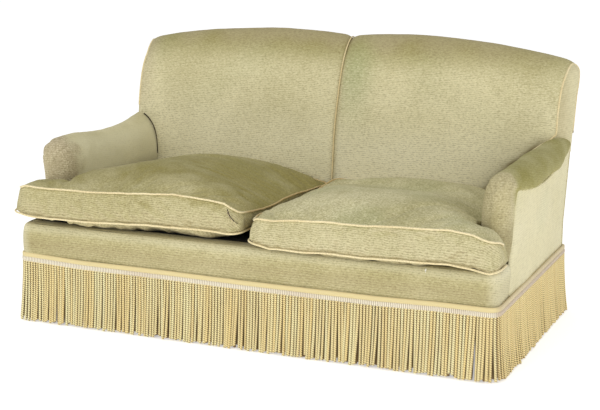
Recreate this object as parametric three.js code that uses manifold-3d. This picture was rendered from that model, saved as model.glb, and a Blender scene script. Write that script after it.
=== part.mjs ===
// A two-seat upholstered sofa of the deep-seated English kind: a beech frame, a hand-built
// sprung seat, hair stuffing, velvet covers, two loose T-shaped seat cushions and a bullion
// fringe round the base. Millimetres, +Z up, with the sofa facing -Y. Left and right are named
// as someone standing in front of the sofa sees them, so right is +X.
import * as THREE from "three";
import { mergeVertices } from "three/addons/utils/BufferGeometryUtils.js";
import Module from "manifold-3d";

const wasm = await Module();
wasm.setup();

// ---------------------------------------------------------------- driving dimensions
const fit = 0.3; // gap left between pieces that touch
const baseHalfWidth = 841; // outer face of the side covers
const baseHalfDepth = 417; // outer face of the front border
const deckHeight = 343; // top of the sprung seat, under the cushions
const trimTop = 238; // top edge of the fringe's woven heading
const railBottom = 175;
const railTop = 320;
const railThickness = 32;
const railOuterX = 834;
const railOuterY = 409;
const legWidth = 48;
const uprightInnerX = 782;
const uprightDepth = 40;
const uprightTop = 830;
const rake = 0.2745; // rearward run of the back for each unit of height
const coverThickness = 3;
const paddedCover = 6.5; // cloth over wadding, straight on the wood
const borderThickness = 8;
const borderRadius = 45;
const stumpFront = -275; // front face of the arm's front post
const armInnerX = 735;
const armRoofHeight = 606; // nominal top of the arm's roll
const backNominalTop = 918;
const backRollStart = 700; // the back's section grows taller only above this height

// ---------------------------------------------------------------- materials
function finish(color, roughness, metalness = 0) {
  return new THREE.MeshStandardMaterial({ color, roughness, metalness });
}
const beech = finish(0xb98a57, 0.6);
const darkWood = finish(0x4a2e1c, 0.45);
const springSteel = finish(0x77706a, 0.4, 0.9);
const jute = finish(0xa08052, 0.95);
const hessian = finish(0xb49a6c, 0.95);
const hair = finish(0x6d5c46, 1.0);
const velvet = finish(0xb5ab77, 0.85);
const cushionVelvet = finish(0x9a9257, 0.85);
const lining = finish(0x2a2826, 0.95);
const fringeYarn = finish(0xe0c98a, 0.8);

// ---------------------------------------------------------------- shapes and booleans
const alongX = new THREE.Matrix4().makeBasis(
  new THREE.Vector3(0, 1, 0),
  new THREE.Vector3(0, 0, 1),
  new THREE.Vector3(1, 0, 0),
);

function outline(points) {
  return new THREE.Shape(points.map(([u, v]) => new THREE.Vector2(u, v)));
}

// A (y, z) outline pushed along X from x0 to x1.
function prismX(shape, x0, x1) {
  const g = new THREE.ExtrudeGeometry(shape, { depth: x1 - x0, bevelEnabled: false });
  return g.applyMatrix4(alongX).translate(x0, 0, 0);
}

// An (x, y) outline pushed up from z0 to z1.
function prismZ(shape, z0, z1) {
  const g = new THREE.ExtrudeGeometry(shape, { depth: z1 - z0, bevelEnabled: false, curveSegments: 6 });
  return g.translate(0, 0, z0);
}

function block(x0, x1, y0, y1, z0, z1) {
  const g = new THREE.BoxGeometry(x1 - x0, y1 - y0, z1 - z0);
  return g.translate((x0 + x1) / 2, (y0 + y1) / 2, (z0 + z1) / 2);
}

function solid(geometry) {
  const bare = geometry.index ? geometry.toNonIndexed() : geometry.clone();
  bare.deleteAttribute("normal");
  bare.deleteAttribute("uv");
  const merged = mergeVertices(bare, 1e-3);
  return new wasm.Manifold(
    new wasm.Mesh({
      numProp: 3,
      vertProperties: merged.attributes.position.array,
      triVerts: new Uint32Array(merged.index.array),
    }),
  );
}

function geometryOf(manifold) {
  const mesh = manifold.getMesh();
  const g = new THREE.BufferGeometry();
  g.setAttribute("position", new THREE.BufferAttribute(new Float32Array(mesh.vertProperties), 3));
  g.setIndex(new THREE.BufferAttribute(new Uint32Array(mesh.triVerts), 1));
  g.computeVertexNormals();
  return g;
}

function cut(body, ...tools) {
  return tools.reduce((left, tool) => left.subtract(solid(tool)), solid(body));
}

// Merges the flat faces that joining several strips has divided.
function tidied(body) {
  return body.asOriginal().simplify(0.01);
}

// Skins a list of rings, each with the same number of points, into one closed geometry.
function loft(rings) {
  const count = rings[0].length;
  const positions = rings.flat().flatMap((p) => [p.x, p.y, p.z]);
  const faces = [];
  for (let r = 0; r < rings.length - 1; r += 1) {
    for (let i = 0; i < count; i += 1) {
      const a = r * count + i;
      const b = r * count + ((i + 1) % count);
      faces.push([a, b, b + count], [a, b + count, a + count]);
    }
  }
  const capOf = (ring) => {
    const flat = ring.map((p) => new THREE.Vector2(p.u, p.v));
    return THREE.ShapeUtils.triangulateShape(flat, []);
  };
  const last = (rings.length - 1) * count;
  capOf(rings[0]).forEach(([a, b, c]) => faces.push([a, c, b]));
  capOf(rings.at(-1)).forEach(([a, b, c]) => faces.push([last + a, last + b, last + c]));
  const corner = (i) => new THREE.Vector3().fromArray(positions, 3 * i);
  const volume = faces.reduce((sum, [a, b, c]) => {
    return sum + corner(a).dot(corner(b).cross(corner(c)));
  }, 0);
  const outward = volume > 0 ? faces : faces.map(([a, b, c]) => [a, c, b]);
  const g = new THREE.BufferGeometry();
  g.setAttribute("position", new THREE.Float32BufferAttribute(positions, 3));
  g.setIndex(outward.flat());
  return g;
}

// Moves each side of a counter-clockwise outline inwards by a distance.
function inset(points, distance) {
  const count = points.length;
  return points.map((p, i) => {
    const before = points[(i + count - 1) % count];
    const after = points[(i + 1) % count];
    const d0 = p.clone().sub(before).normalize();
    const d1 = after.clone().sub(p).normalize();
    const n0 = new THREE.Vector2(-d0.y, d0.x);
    const n1 = new THREE.Vector2(-d1.y, d1.x);
    const mid = n0.add(n1).normalize();
    return p.clone().addScaledVector(mid, distance / Math.max(0.35, mid.dot(n1)));
  });
}

// ---------------------------------------------------------------- the object's groups
const sofa = new THREE.Group();
const frame = new THREE.Group();
const springing = new THREE.Group();
const stuffing = new THREE.Group();
const covers = new THREE.Group();
const cushions = new THREE.Group();
sofa.add(frame, springing, stuffing, covers, cushions);

function piece(group, name, geometry, material, position = [0, 0, 0]) {
  const mesh = new THREE.Mesh(geometry, material);
  mesh.name = name;
  mesh.position.set(...position);
  group.add(mesh);
  return mesh;
}

function rail(name, size, centre, material = beech) {
  return piece(frame, name, new THREE.BoxGeometry(...size), material, centre);
}

const sides = [
  { side: -1, hand: "left" },
  { side: 1, hand: "right" },
];

// Front face of the raked back frame at a height.
function frameFront(z) {
  return railOuterY - uprightDepth + rake * Math.max(0, z - railTop);
}

// ---------------------------------------------------------------- beech frame
function seatFrame() {
  const height = railTop - railBottom;
  const middle = (railTop + railBottom) / 2;
  const longRail = 2 * (uprightInnerX - fit);
  const railY = railOuterY - railThickness / 2;
  rail("front_rail", [longRail, railThickness, height], [0, -railY, middle]);
  rail("back_rail", [longRail, railThickness, height], [0, railY, middle]);
  const sideFront = -405 + legWidth + fit;
  const sideBack = railOuterY - uprightDepth - fit;
  for (const { side, hand } of sides) {
    rail(
      `side_rail_${hand}`,
      [railThickness, sideBack - sideFront, height],
      [side * (railOuterX - railThickness / 2), (sideFront + sideBack) / 2, middle],
    );
  }
}

// The front leg is one piece: a square top, chamfered at the sofa's corner, over a turned taper.
function frontLegs() {
  const chamfer = 20;
  const outerX = railOuterX - 4;
  const outerY = -405;
  const innerX = outerX - legWidth;
  const innerY = outerY + legWidth;
  const top = outline([
    [innerX, outerY],
    [outerX - chamfer, outerY],
    [outerX, outerY + chamfer],
    [outerX, innerY],
    [innerX, innerY],
  ]);
  const taper = [
    [0, 0], [17, 0], [19, 6], [19, 18], [24, 60], [29, 110], [30, 128],
    [24, 134], [24, 142], [30, 150], [30, railBottom - 9], [22, railBottom - 1], [22, railBottom + 5],
    [0, railBottom + 5],
  ].map(([r, z]) => new THREE.Vector2(r, z));
  const turned = new THREE.LatheGeometry(taper, 16).rotateX(Math.PI / 2);
  turned.translate((innerX + outerX) / 2, (innerY + outerY) / 2, 0);
  const leg = solid(prismZ(top, railBottom, railTop)).add(solid(turned));
  for (const { side, hand } of sides) {
    const mesh = piece(frame, `front_leg_${hand}`, geometryOf(leg), darkWood);
    mesh.scale.x = side;
  }
}

// The back upright runs from the floor to the top rail as one raked piece.
function backUprights() {
  const front = railOuterY - uprightDepth;
  const lean = rake * (uprightTop - railTop);
  const profile = outline([
    [front + 6, 0],
    [railOuterY - 2, 0],
    [railOuterY, railBottom],
    [railOuterY, railTop],
    [railOuterY + lean, uprightTop],
    [front + lean, uprightTop],
    [front, railTop],
    [front, railBottom],
  ]);
  for (const { side, hand } of sides) {
    const mesh = piece(frame, `back_upright_${hand}`, prismX(profile, uprightInnerX, railOuterX), beech);
    mesh.scale.x = side;
  }
}

function backCrossPieces() {
  const span = uprightInnerX - fit;
  const slope = (z0, z1, depth) =>
    outline([
      [frameFront(z0), z0],
      [frameFront(z0) + depth, z0],
      [frameFront(z1) + depth, z1],
      [frameFront(z1), z1],
    ]);
  piece(frame, "back_top_rail", prismX(slope(784, uprightTop, 32), -span, span), beech);
  piece(frame, "back_lower_rail", prismX(slope(400, 445, 28), -span, span), beech);
  piece(frame, "back_centre_slat", prismX(slope(445 + fit, 784 - fit, 25), -26, 26), beech);
}

const stumpInnerX = 762;
const stumpOuterX = railOuterX - railThickness - fit;
const stumpBack = -231;
const armRailBottom = 527;
const armRailTop = 554;

function armFrame() {
  const stumpSize = [stumpOuterX - stumpInnerX, stumpBack - stumpFront, armRailBottom - fit - 200];
  const stumpX = (stumpInnerX + stumpOuterX) / 2;
  const stumpY = (stumpFront + stumpBack) / 2;
  const railEnd = frameFront(armRailBottom) - 1;
  const tackingEnd = frameFront(350) - 1;
  for (const { side, hand } of sides) {
    rail(`arm_post_${hand}`, stumpSize, [side * stumpX, stumpY, 200 + stumpSize[2] / 2]);
    rail(
      `arm_rail_${hand}`,
      [60, railEnd - stumpFront, armRailTop - armRailBottom],
      [side * 797, (stumpFront + railEnd) / 2, (armRailBottom + armRailTop) / 2],
    );
    rail(
      `arm_tacking_rail_${hand}`,
      [25, tackingEnd - stumpBack - fit, 28],
      [side * (stumpInnerX + 12.5), (stumpBack + fit + tackingEnd) / 2, 366],
    );
  }
}

// A corner brace crosses each corner of the seat frame, just behind the leg.
function cornerBraces() {
  const railY = railOuterY - railThickness - fit;
  const railX = railOuterX - railThickness - fit;
  const brace = outline([
    [705, -railY],
    [740, -railY],
    [railX, -315],
    [railX, -280],
  ]);
  const ends = [
    { end: 1, place: "front" },
    { end: -1, place: "back" },
  ];
  for (const { side, hand } of sides) {
    for (const { end, place } of ends) {
      const mesh = piece(frame, `corner_brace_${place}_${hand}`, prismZ(brace, 280, 316), beech);
      mesh.scale.set(side, end, 1);
    }
  }
}

// ---------------------------------------------------------------- springing
const webbingTop = railBottom - fit;
const webbingThickness = 2.7;

function seatWebbing() {
  const strip = (x0, x1, y0, y1) => solid(block(x0, x1, y0, y1, webbingTop - webbingThickness, webbingTop));
  const width = 50;
  let web = strip(-828, 828, -width / 2, width / 2);
  for (const y of [-240, -120, 120, 240]) {
    web = web.add(strip(-828, 828, y - width / 2, y + width / 2));
  }
  for (let column = -4; column <= 4; column += 1) {
    const x = column * 160;
    web = web.add(strip(x - width / 2, x + width / 2, -404, 404));
  }
  piece(springing, "seat_webbing", geometryOf(tidied(web)), jute);
}

// An hourglass spring: wide end coils and a narrow waist.
class HourglassCoil extends THREE.Curve {
  getPoint(t, target = new THREE.Vector3()) {
    const turns = 4;
    const angle = 2 * Math.PI * turns * t;
    const radius = 36 + 22 * Math.cos(2 * Math.PI * t) ** 2 * Math.abs(2 * t - 1);
    return target.set(radius * Math.cos(angle), radius * Math.sin(angle), this.height * t);
  }
}

function seatSprings() {
  const wire = 2.4;
  const coil = new HourglassCoil();
  coil.height = railTop - webbingTop - 2 * wire - 2;
  const section = new THREE.Shape();
  section.absarc(0, 0, wire, 0, 2 * Math.PI);
  const spring = new THREE.ExtrudeGeometry(section, {
    steps: 24,
    curveSegments: 2,
    bevelEnabled: false,
    extrudePath: coil,
  });
  let number = 1;
  for (const y of [-240, 0, 240]) {
    for (const x of [-600, -300, 0, 300, 600]) {
      const name = `seat_spring_${String(number).padStart(2, "0")}`;
      piece(springing, name, spring, springSteel, [x, y, webbingTop + wire + 1]);
      number += 1;
    }
  }
}

function springCanvas() {
  const notch = (side) =>
    block(
      Math.min(side * 758, side * 840), Math.max(side * 758, side * 840),
      stumpFront - 2, stumpBack + 2, 300, 340,
    );
  const canvas = block(-820, 820, -400, 366, railTop + fit, railTop + fit + 2);
  piece(springing, "spring_canvas", geometryOf(cut(canvas, notch(-1), notch(1))), hessian);
}

function backWebbing() {
  const thickness = 3;
  const reach = (z0, z1) =>
    outline([
      [frameFront(z0) - fit - thickness, z0],
      [frameFront(z0) - fit, z0],
      [frameFront(z1) - fit, z1],
      [frameFront(z1) - fit - thickness, z1],
    ]);
  const width = 50;
  let web = solid(prismX(reach(404, 826), -width / 2, width / 2));
  for (const x of [-640, -480, -320, -160, 160, 320, 480, 640]) {
    web = web.add(solid(prismX(reach(404, 826), x - width / 2, x + width / 2)));
  }
  for (const z of [500, 610, 720]) {
    web = web.add(solid(prismX(reach(z - width / 2, z + width / 2), -828, 828)));
  }
  piece(springing, "back_webbing", geometryOf(tidied(web)), jute);
}

// ---------------------------------------------------------------- the back's shape
// The back's section in (y, z), counter-clockwise. Above backRollStart it is stretched so that
// its top stands at topHeight.
function backSection(topHeight) {
  const shape = new THREE.Shape();
  shape.moveTo(352, deckHeight + fit);
  shape.lineTo(431, deckHeight + fit);
  shape.lineTo(546, 770);
  shape.bezierCurveTo(560, 800, 576, 822, 574, 858);
  shape.bezierCurveTo(572, 892, 556, backNominalTop, 522, backNominalTop - 5);
  shape.bezierCurveTo(478, backNominalTop - 18, 432, 850, 419, 776);
  shape.bezierCurveTo(402, 690, 384, 590, 375, 520);
  shape.bezierCurveTo(368, 460, 362, 410, 352, deckHeight + fit);
  const stretch = (topHeight - backRollStart) / (backNominalTop - backRollStart);
  const points = shape.getPoints(5).slice(0, -1);
  return points.map((p) => {
    const above = Math.max(0, p.y - backRollStart);
    return new THREE.Vector2(p.x, Math.min(p.y, backRollStart) + above * stretch);
  });
}

// Height of the back's top across the sofa: crowned over each seat, dipped at the middle seam,
// rounded off at both ends.
const backStations = [
  [0, 917], [60, 924], [180, 929], [400, 926], [520, 918], [640, 905],
  [740, 887], [790, 880], [818, 872], [834, 862],
];

function backLoft(insetBy, overhang) {
  const half = backStations.map(([x, top]) => ({ x, top }));
  const all = [...half.slice(1).reverse().map(({ x, top }) => ({ x: -x, top })), ...half];
  all[0] = { ...all[0], x: all[0].x - overhang };
  all[all.length - 1] = { ...all.at(-1), x: all.at(-1).x + overhang };
  return loft(
    all.map(({ x, top }) =>
      inset(backSection(top), insetBy).map((p) => {
        const corner = new THREE.Vector3(x, p.x, p.y);
        return Object.assign(corner, { u: p.x, v: p.y });
      }),
    ),
  );
}

// Everything behind the front face of the back frame and below its top rail.
function backFrameZone(gap) {
  const front = (z) => frameFront(z) - 3 - fit - gap;
  const low = 250;
  const high = uprightTop + gap;
  const zone = outline([
    [front(low), low],
    [900, low],
    [900, high],
    [front(high), high],
    [front(railTop), railTop],
  ]);
  return prismX(zone, -900, 900);
}

// The space that each arm's two rails take on their way to the back uprights.
function armRailSpaces() {
  const spaces = [];
  for (const { side } of sides) {
    spaces.push(between(side, 766, 836, 290, 440, armRailBottom - 1, armRailTop + 1));
    spaces.push(between(side, 761, 788, 290, 440, 351, 381));
  }
  return spaces;
}

function backUpholstery() {
  const rails = armRailSpaces();
  const pad = cut(backLoft(coverThickness + fit, -fit), backFrameZone(0.4), ...rails);
  piece(stuffing, "back_stuffing", geometryOf(pad), hair);
  const skin = solid(backLoft(0, 0))
    .subtract(solid(backLoft(coverThickness, 10)))
    .subtract(solid(backFrameZone(0.4)))
    .subtract(solid(block(-900, 900, 300, 600, 300, deckHeight + coverThickness + 1)))
    .subtract(rails.map(solid).reduce((all, space) => all.add(space)));
  for (const { side, hand } of sides) {
    const half = block(Math.min(0, side * 900), Math.max(0, side * 900), 300, 650, 300, 1000);
    half.translate(side * 0.2, 0, 0);
    piece(covers, `inside_back_panel_${hand}`, geometryOf(skin.intersect(solid(half))), velvet);
  }
}

// The side border closes each end of the back above the arm.
function backBorders() {
  const top = backStations.at(-1)[1];
  const points = inset(backSection(top), 1);
  const plate = prismX(outline(points.map((p) => [p.x, p.y])), railOuterX + fit, railOuterX + 5);
  const above = block(800, 900, 300, 700, armRoofHeight - 46, 1000);
  const border = solid(plate).intersect(solid(above));
  for (const { side, hand } of sides) {
    const mesh = piece(covers, `back_border_${hand}`, geometryOf(border), velvet);
    mesh.scale.x = side;
  }
}

function outsideBack() {
  const rear = (z) => frameFront(z) + uprightDepth + fit;
  const panel = outline([
    [rear(trimTop), trimTop - 30],
    [rear(trimTop) + paddedCover - 1, trimTop - 30],
    [rear(railTop) + paddedCover - 1, railTop],
    [rear(uprightTop - 6) + paddedCover, uprightTop - 6],
    [rear(uprightTop - 6), uprightTop - 6],
    [rear(railTop), railTop],
  ]);
  // clear of the stretched cover that turns over the top rail
  const sheet = cut(prismX(panel, -railOuterX, railOuterX), block(-900, 900, 300, 700, uprightTop - 8, 900));
  piece(covers, "outside_back_panel", geometryOf(sheet), velvet);
}

// ---------------------------------------------------------------- the arms' shape
// The arm's section in (x, z) for the right hand side, counter-clockwise.
function armSection() {
  const shape = new THREE.Shape();
  const outerX = railOuterX - 0.5;
  shape.moveTo(armInnerX, deckHeight + fit);
  shape.lineTo(outerX, deckHeight + fit);
  shape.lineTo(outerX, 527);
  shape.lineTo(846, 530);
  shape.bezierCurveTo(862, 534, 872, 546, 872, 562);
  shape.bezierCurveTo(872, 592, 836, armRoofHeight, 800, armRoofHeight);
  shape.bezierCurveTo(760, armRoofHeight, armInnerX, 590, armInnerX, 550);
  shape.bezierCurveTo(armInnerX - 1, 500, armInnerX - 1, 430, armInnerX, deckHeight + fit);
  return shape.getPoints(5).slice(0, -1);
}

// Along the arm, from the front: how far the roof stands above its nominal height, and how
// much the section is drawn in where the front is rounded off.
const armStations = [
  { y: -304, rise: -62, draw: 0.8 },
  { y: -300, rise: -34, draw: 0.9 },
  { y: -288, rise: -14, draw: 0.96 },
  { y: -262, rise: -4, draw: 1 },
  { y: -160, rise: 0, draw: 1 },
  { y: 0, rise: -10, draw: 1 },
  { y: 130, rise: -12, draw: 1 },
  { y: 260, rise: 0, draw: 1 },
  { y: 370, rise: 20, draw: 1 },
  { y: 430, rise: 34, draw: 0.99 },
  { y: 474, rise: 38, draw: 0.97 },
];

function armLoft(side, insetBy, overhang) {
  const middleX = 778;
  const low = deckHeight + fit;
  const section = inset(armSection(), insetBy);
  return loft(
    armStations.map(({ y, rise, draw }, index) => {
      const grown = (armRoofHeight + rise - low) / (armRoofHeight - low);
      const reach = index === 0 ? insetBy : index === armStations.length - 1 ? overhang : 0;
      return section.map((p) => {
        const x = middleX + (p.x - middleX) * draw;
        const z = low + (p.y - low) * grown;
        const corner = new THREE.Vector3(side * x, y + reach, z);
        return Object.assign(corner, { u: x, v: z });
      });
    }),
  );
}

function between(side, x0, x1, ...rest) {
  return block(Math.min(side * x0, side * x1), Math.max(side * x0, side * x1), ...rest);
}

function armUpholstery() {
  const backClear = backLoft(-1.2, 6);
  const low = deckHeight + coverThickness + 1;
  for (const { side, hand } of sides) {
    const woodwork = between(side, stumpInnerX - 5, 829, stumpFront - 1, 600, 300, armRailTop + 1);
    const sideSpace = between(side, 800, 834.2, -282, 600, 300, 529);
    const pad = solid(armLoft(side, coverThickness + 4 * fit, -coverThickness))
      .subtract(solid(woodwork))
      .subtract(solid(sideSpace))
      .subtract(solid(backClear));
    piece(stuffing, `arm_stuffing_${hand}`, geometryOf(largest(pad)), hair);
    const skin = solid(armLoft(side, 0, 0))
      .subtract(solid(armLoft(side, coverThickness, 10)))
      .subtract(solid(between(side, 700, 900, -400, 600, 300, low)))
      .subtract(solid(between(side, 825, 834.2, -290, 600, 300, 526)))
      .subtract(solid(backClear));
    piece(covers, `inside_arm_cover_${hand}`, geometryOf(largest(skin)), velvet);
  }
}

function largest(body) {
  return body.decompose().sort((a, b) => b.volume() - a.volume())[0];
}

function outsideArms() {
  const panel = new THREE.Shape();
  const rear = (z) => frameFront(z) + uprightDepth + paddedCover;
  panel.moveTo(-282, trimTop - 30);
  panel.lineTo(rear(trimTop), trimTop - 30);
  panel.lineTo(rear(railTop), railTop);
  panel.lineTo(rear(556) - 4, 556);
  panel.bezierCurveTo(360, 522, 120, 506, -20, 512);
  panel.bezierCurveTo(-120, 516, -190, 522, -236, 524);
  panel.bezierCurveTo(-268, 510, -282, 470, -282, 430);
  const geometry = new THREE.ExtrudeGeometry(panel, {
    depth: paddedCover,
    bevelEnabled: false,
    curveSegments: 8,
  });
  geometry.applyMatrix4(alongX).translate(railOuterX + 0.5, 0, 0);
  for (const { side, hand } of sides) {
    const mesh = piece(covers, `outside_arm_panel_${hand}`, geometry, velvet);
    mesh.scale.x = side;
  }
}

// ---------------------------------------------------------------- seat upholstery
// A T-shaped plan: full width in front of the arms, narrower between them.
function deckPlan(edge, radius) {
  const plan = new THREE.Shape();
  const wide = railOuterX - 1.5 - edge;
  const front = -railOuterY + 0.5 + edge;
  const narrow = stumpInnerX - 4;
  const back = 350;
  const step = -306;
  plan.moveTo(-wide + radius, front);
  plan.lineTo(wide - radius, front);
  plan.absarc(wide - radius, front + radius, radius, -Math.PI / 2, 0);
  plan.lineTo(wide, step);
  plan.lineTo(narrow, step);
  plan.lineTo(narrow, back);
  plan.lineTo(-narrow, back);
  plan.lineTo(-narrow, step);
  plan.lineTo(-wide, step);
  plan.lineTo(-wide, front + radius);
  plan.absarc(-wide + radius, front + radius, radius, Math.PI, 1.5 * Math.PI);
  return plan;
}

function seatUpholstery() {
  const canvasTop = railTop + fit + 2;
  const clothBottom = deckHeight - 2.7;
  piece(stuffing, "seat_stuffing", prismZ(deckPlan(0, 38), canvasTop + fit, clothBottom - fit), hair);
  piece(covers, "platform_cloth", prismZ(deckPlan(0, 38), clothBottom, deckHeight), lining);
}

// The front border wraps the front rail and turns both corners as far as the arms' panels.
function frontBorder() {
  const returnEnd = -282 - 2 * fit;
  const band = (half, front, radius) => {
    const plan = new THREE.Shape();
    plan.moveTo(-half, returnEnd);
    plan.lineTo(-half, front + radius);
    plan.absarc(-half + radius, front + radius, radius, Math.PI, 1.5 * Math.PI);
    plan.lineTo(half - radius, front);
    plan.absarc(half - radius, front + radius, radius, -Math.PI / 2, 0);
    plan.lineTo(half, returnEnd);
    return plan;
  };
  const outer = prismZ(band(baseHalfWidth, -baseHalfDepth, borderRadius), trimTop - 30, deckHeight);
  const inner = prismZ(
    band(baseHalfWidth - paddedCover, -baseHalfDepth + borderThickness - 0.3, borderRadius - 8),
    trimTop - 60,
    deckHeight + 30,
  );
  const clear = inner.clone().translate(0, 20, 0);
  piece(covers, "front_border", geometryOf(cut(outer, inner, clear)), velvet);
}

// Black lining tacked under the rails, notched for the four legs.
function dustCover() {
  const top = webbingTop - webbingThickness - fit;
  const sheet = block(-826, 826, -401, 401, top - 2, top);
  const notches = [-1, 1].flatMap((side) =>
    [-1, 1].map((end) => block(770, 840, 335, 440, 150, 180).scale(side, end, 1)),
  );
  const boxes = notches.map((g) => {
    g.computeBoundingBox();
    const { min, max } = g.boundingBox;
    return block(min.x, max.x, min.y, max.y, min.z, max.z);
  });
  piece(covers, "dust_cover", geometryOf(cut(sheet, ...boxes)), lining);
}

// ---------------------------------------------------------------- loose seat cushions
// One cushion for the right hand seat: a T-shaped plan with an ear in front of the arm, crowned
// from front to back and from side to side.
function cushionGeometry() {
  const middle = 1.5;
  const earX = 846;
  const neckX = 710;
  const front = -464;
  const earBack = -308;
  const back = 350;
  const r = 42;
  const plan = new THREE.Shape();
  plan.moveTo(middle + r, front);
  plan.lineTo(earX - r, front);
  plan.absarc(earX - r, front + r, r, -Math.PI / 2, 0);
  plan.lineTo(earX, earBack - 15);
  plan.lineTo(earX - 15, earBack);
  plan.lineTo(neckX, earBack);
  plan.lineTo(neckX, back - r);
  plan.lineTo(neckX - r, back);
  plan.lineTo(middle, back);
  plan.lineTo(middle, front + r);
  plan.absarc(middle + r, front + r, r, Math.PI, 1.5 * Math.PI);
  const bottom = deckHeight + fit;
  const crown = (length, edge, top) => {
    const side = new THREE.Shape();
    side.moveTo(0, bottom);
    side.lineTo(length, bottom);
    side.lineTo(length, edge);
    side.bezierCurveTo(length * 0.8, top, length * 0.2, top, 0, edge);
    return side;
  };
  const options = { bevelEnabled: false, curveSegments: 8 };
  const across = new THREE.ExtrudeGeometry(crown(850, 455, 532), { ...options, depth: 1000 });
  across.applyMatrix4(new THREE.Matrix4().makeBasis(
    new THREE.Vector3(1, 0, 0),
    new THREE.Vector3(0, 0, 1),
    new THREE.Vector3(0, -1, 0),
  )).translate(0, 500, 0);
  const along = new THREE.ExtrudeGeometry(crown(820, 452, 532), { ...options, depth: 1000 });
  along.applyMatrix4(alongX).translate(-50, front, 0);
  const body = solid(prismZ(plan, bottom, 560)).intersect(solid(across)).intersect(solid(along));
  return geometryOf(body);
}

function seatCushions() {
  const geometry = cushionGeometry();
  for (const { side, hand } of sides) {
    const mesh = piece(cushions, `seat_cushion_${hand}`, geometry, cushionVelvet);
    mesh.scale.x = side;
  }
}

// ---------------------------------------------------------------- bullion fringe
// One length of trimming sewn round the whole base: a woven heading with the cords below it.
function bullionFringe() {
  const thickness = 8;
  const clearance = 1.2;
  const rearY = railOuterY + fit + paddedCover - 1 + clearance;
  const ring = (grow, shape) => {
    const x = baseHalfWidth + clearance + grow;
    const front = -baseHalfDepth - clearance - grow;
    const rear = rearY + grow;
    const r = borderRadius - 2 + grow;
    shape.moveTo(-x + r, front);
    shape.lineTo(x - r, front);
    shape.absarc(x - r, front + r, r, -Math.PI / 2, 0);
    shape.lineTo(x, rear);
    shape.lineTo(-x, rear);
    shape.lineTo(-x, front + r);
    shape.absarc(-x + r, front + r, r, Math.PI, 1.5 * Math.PI);
    return shape;
  };
  const plan = ring(thickness, new THREE.Shape());
  plan.holes.push(ring(0, new THREE.Path()));
  piece(covers, "bullion_fringe", prismZ(plan, 6, trimTop), fringeYarn);
}

seatFrame();
frontLegs();
backUprights();
backCrossPieces();
armFrame();
cornerBraces();
seatWebbing();
seatSprings();
springCanvas();
backWebbing();
backUpholstery();
backBorders();
outsideBack();
armUpholstery();
outsideArms();
seatUpholstery();
frontBorder();
dustCover();
seatCushions();
bullionFringe();

// The origin is the middle of the footprint, on the floor.
const bounds = new THREE.Box3().setFromObject(sofa, true);
sofa.position.y = -(bounds.min.y + bounds.max.y) / 2;

export default sofa;
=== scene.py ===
"""A worn two-seat country-house sofa in ribbed chenille velvet, with loose down cushions, cream
piping and a deep bullion fringe. Everything is in metres, +Z up, with the sofa facing -Y."""

import math

import bmesh
import bpy
import numpy as np
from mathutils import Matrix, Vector, kdtree, noise


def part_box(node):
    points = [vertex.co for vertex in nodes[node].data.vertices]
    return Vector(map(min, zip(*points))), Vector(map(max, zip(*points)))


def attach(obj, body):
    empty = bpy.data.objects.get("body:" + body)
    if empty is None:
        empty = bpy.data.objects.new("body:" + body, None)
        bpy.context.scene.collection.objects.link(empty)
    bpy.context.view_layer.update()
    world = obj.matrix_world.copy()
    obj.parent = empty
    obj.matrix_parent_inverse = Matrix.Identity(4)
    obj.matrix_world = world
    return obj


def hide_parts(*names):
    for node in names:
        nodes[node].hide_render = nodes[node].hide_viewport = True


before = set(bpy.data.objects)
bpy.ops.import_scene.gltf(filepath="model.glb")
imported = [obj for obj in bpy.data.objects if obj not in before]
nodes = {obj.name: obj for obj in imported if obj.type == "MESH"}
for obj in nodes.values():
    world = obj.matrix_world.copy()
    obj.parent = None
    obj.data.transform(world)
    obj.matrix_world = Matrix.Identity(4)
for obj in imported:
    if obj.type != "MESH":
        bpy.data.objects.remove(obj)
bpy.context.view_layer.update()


def lowest(node):
    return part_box(node)[0]


def highest(node):
    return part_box(node)[1]


# ------------------------------------------------------------------ sizes taken from the frame
DECK = lowest("seat_cushion_right").z  # top of the sprung seat
BASE_X = highest("outside_arm_panel_right").x  # outer face of the side covers
BASE_FRONT = lowest("front_border").y
BASE_BACK = highest("bullion_fringe").y
TRIM_TOP = highest("bullion_fringe").z
FRINGE_X = highest("bullion_fringe").x
FRINGE_FRONT = lowest("bullion_fringe").y
BACK_FRONT = lowest("inside_back_panel_right").y
ARM_FRONT = lowest("inside_arm_cover_right").y
ARM_REAR = highest("inside_arm_cover_right").y
ARM_ROOF = 0.606  # height of the arms at their fronts
CUSHION_FRONT = lowest("seat_cushion_right").y
CUSHION_BACK = highest("seat_cushion_right").y

ARM_INSIDE = 0.7345  # how far out a cushion reaches between the arms
BACK_HALF = 0.842  # half the width of the back outside
BACK_END = 0.841  # how far out the inside cover meets the strip at the end
BACK_SHEET = 0.003  # thickness of the covers inside the back and at its ends
OUTER_SHEET = 0.004  # thickness of the covers outside
PIPING_RADIUS = 0.0033
SIDES = ((-1, "left"), (1, "right"))


# ------------------------------------------------------------------ small mesh helpers
def smoothstep(low, high, value):
    t = min(1.0, max(0.0, (value - low) / (high - low)))
    return t * t * (3 - 2 * t)


def bump(centre, width, value):
    """1 at the centre, falling smoothly to 0 a width away."""
    return 1 - smoothstep(0, width, abs(value - centre))


def soft_noise(x, y, z, size, seed=0.0):
    """Smooth noise from about -1 to 1 whose lumps are about this size in metres."""
    return noise.noise(Vector((x / size + seed, y / size - seed, z / size + 2 * seed)))


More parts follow.
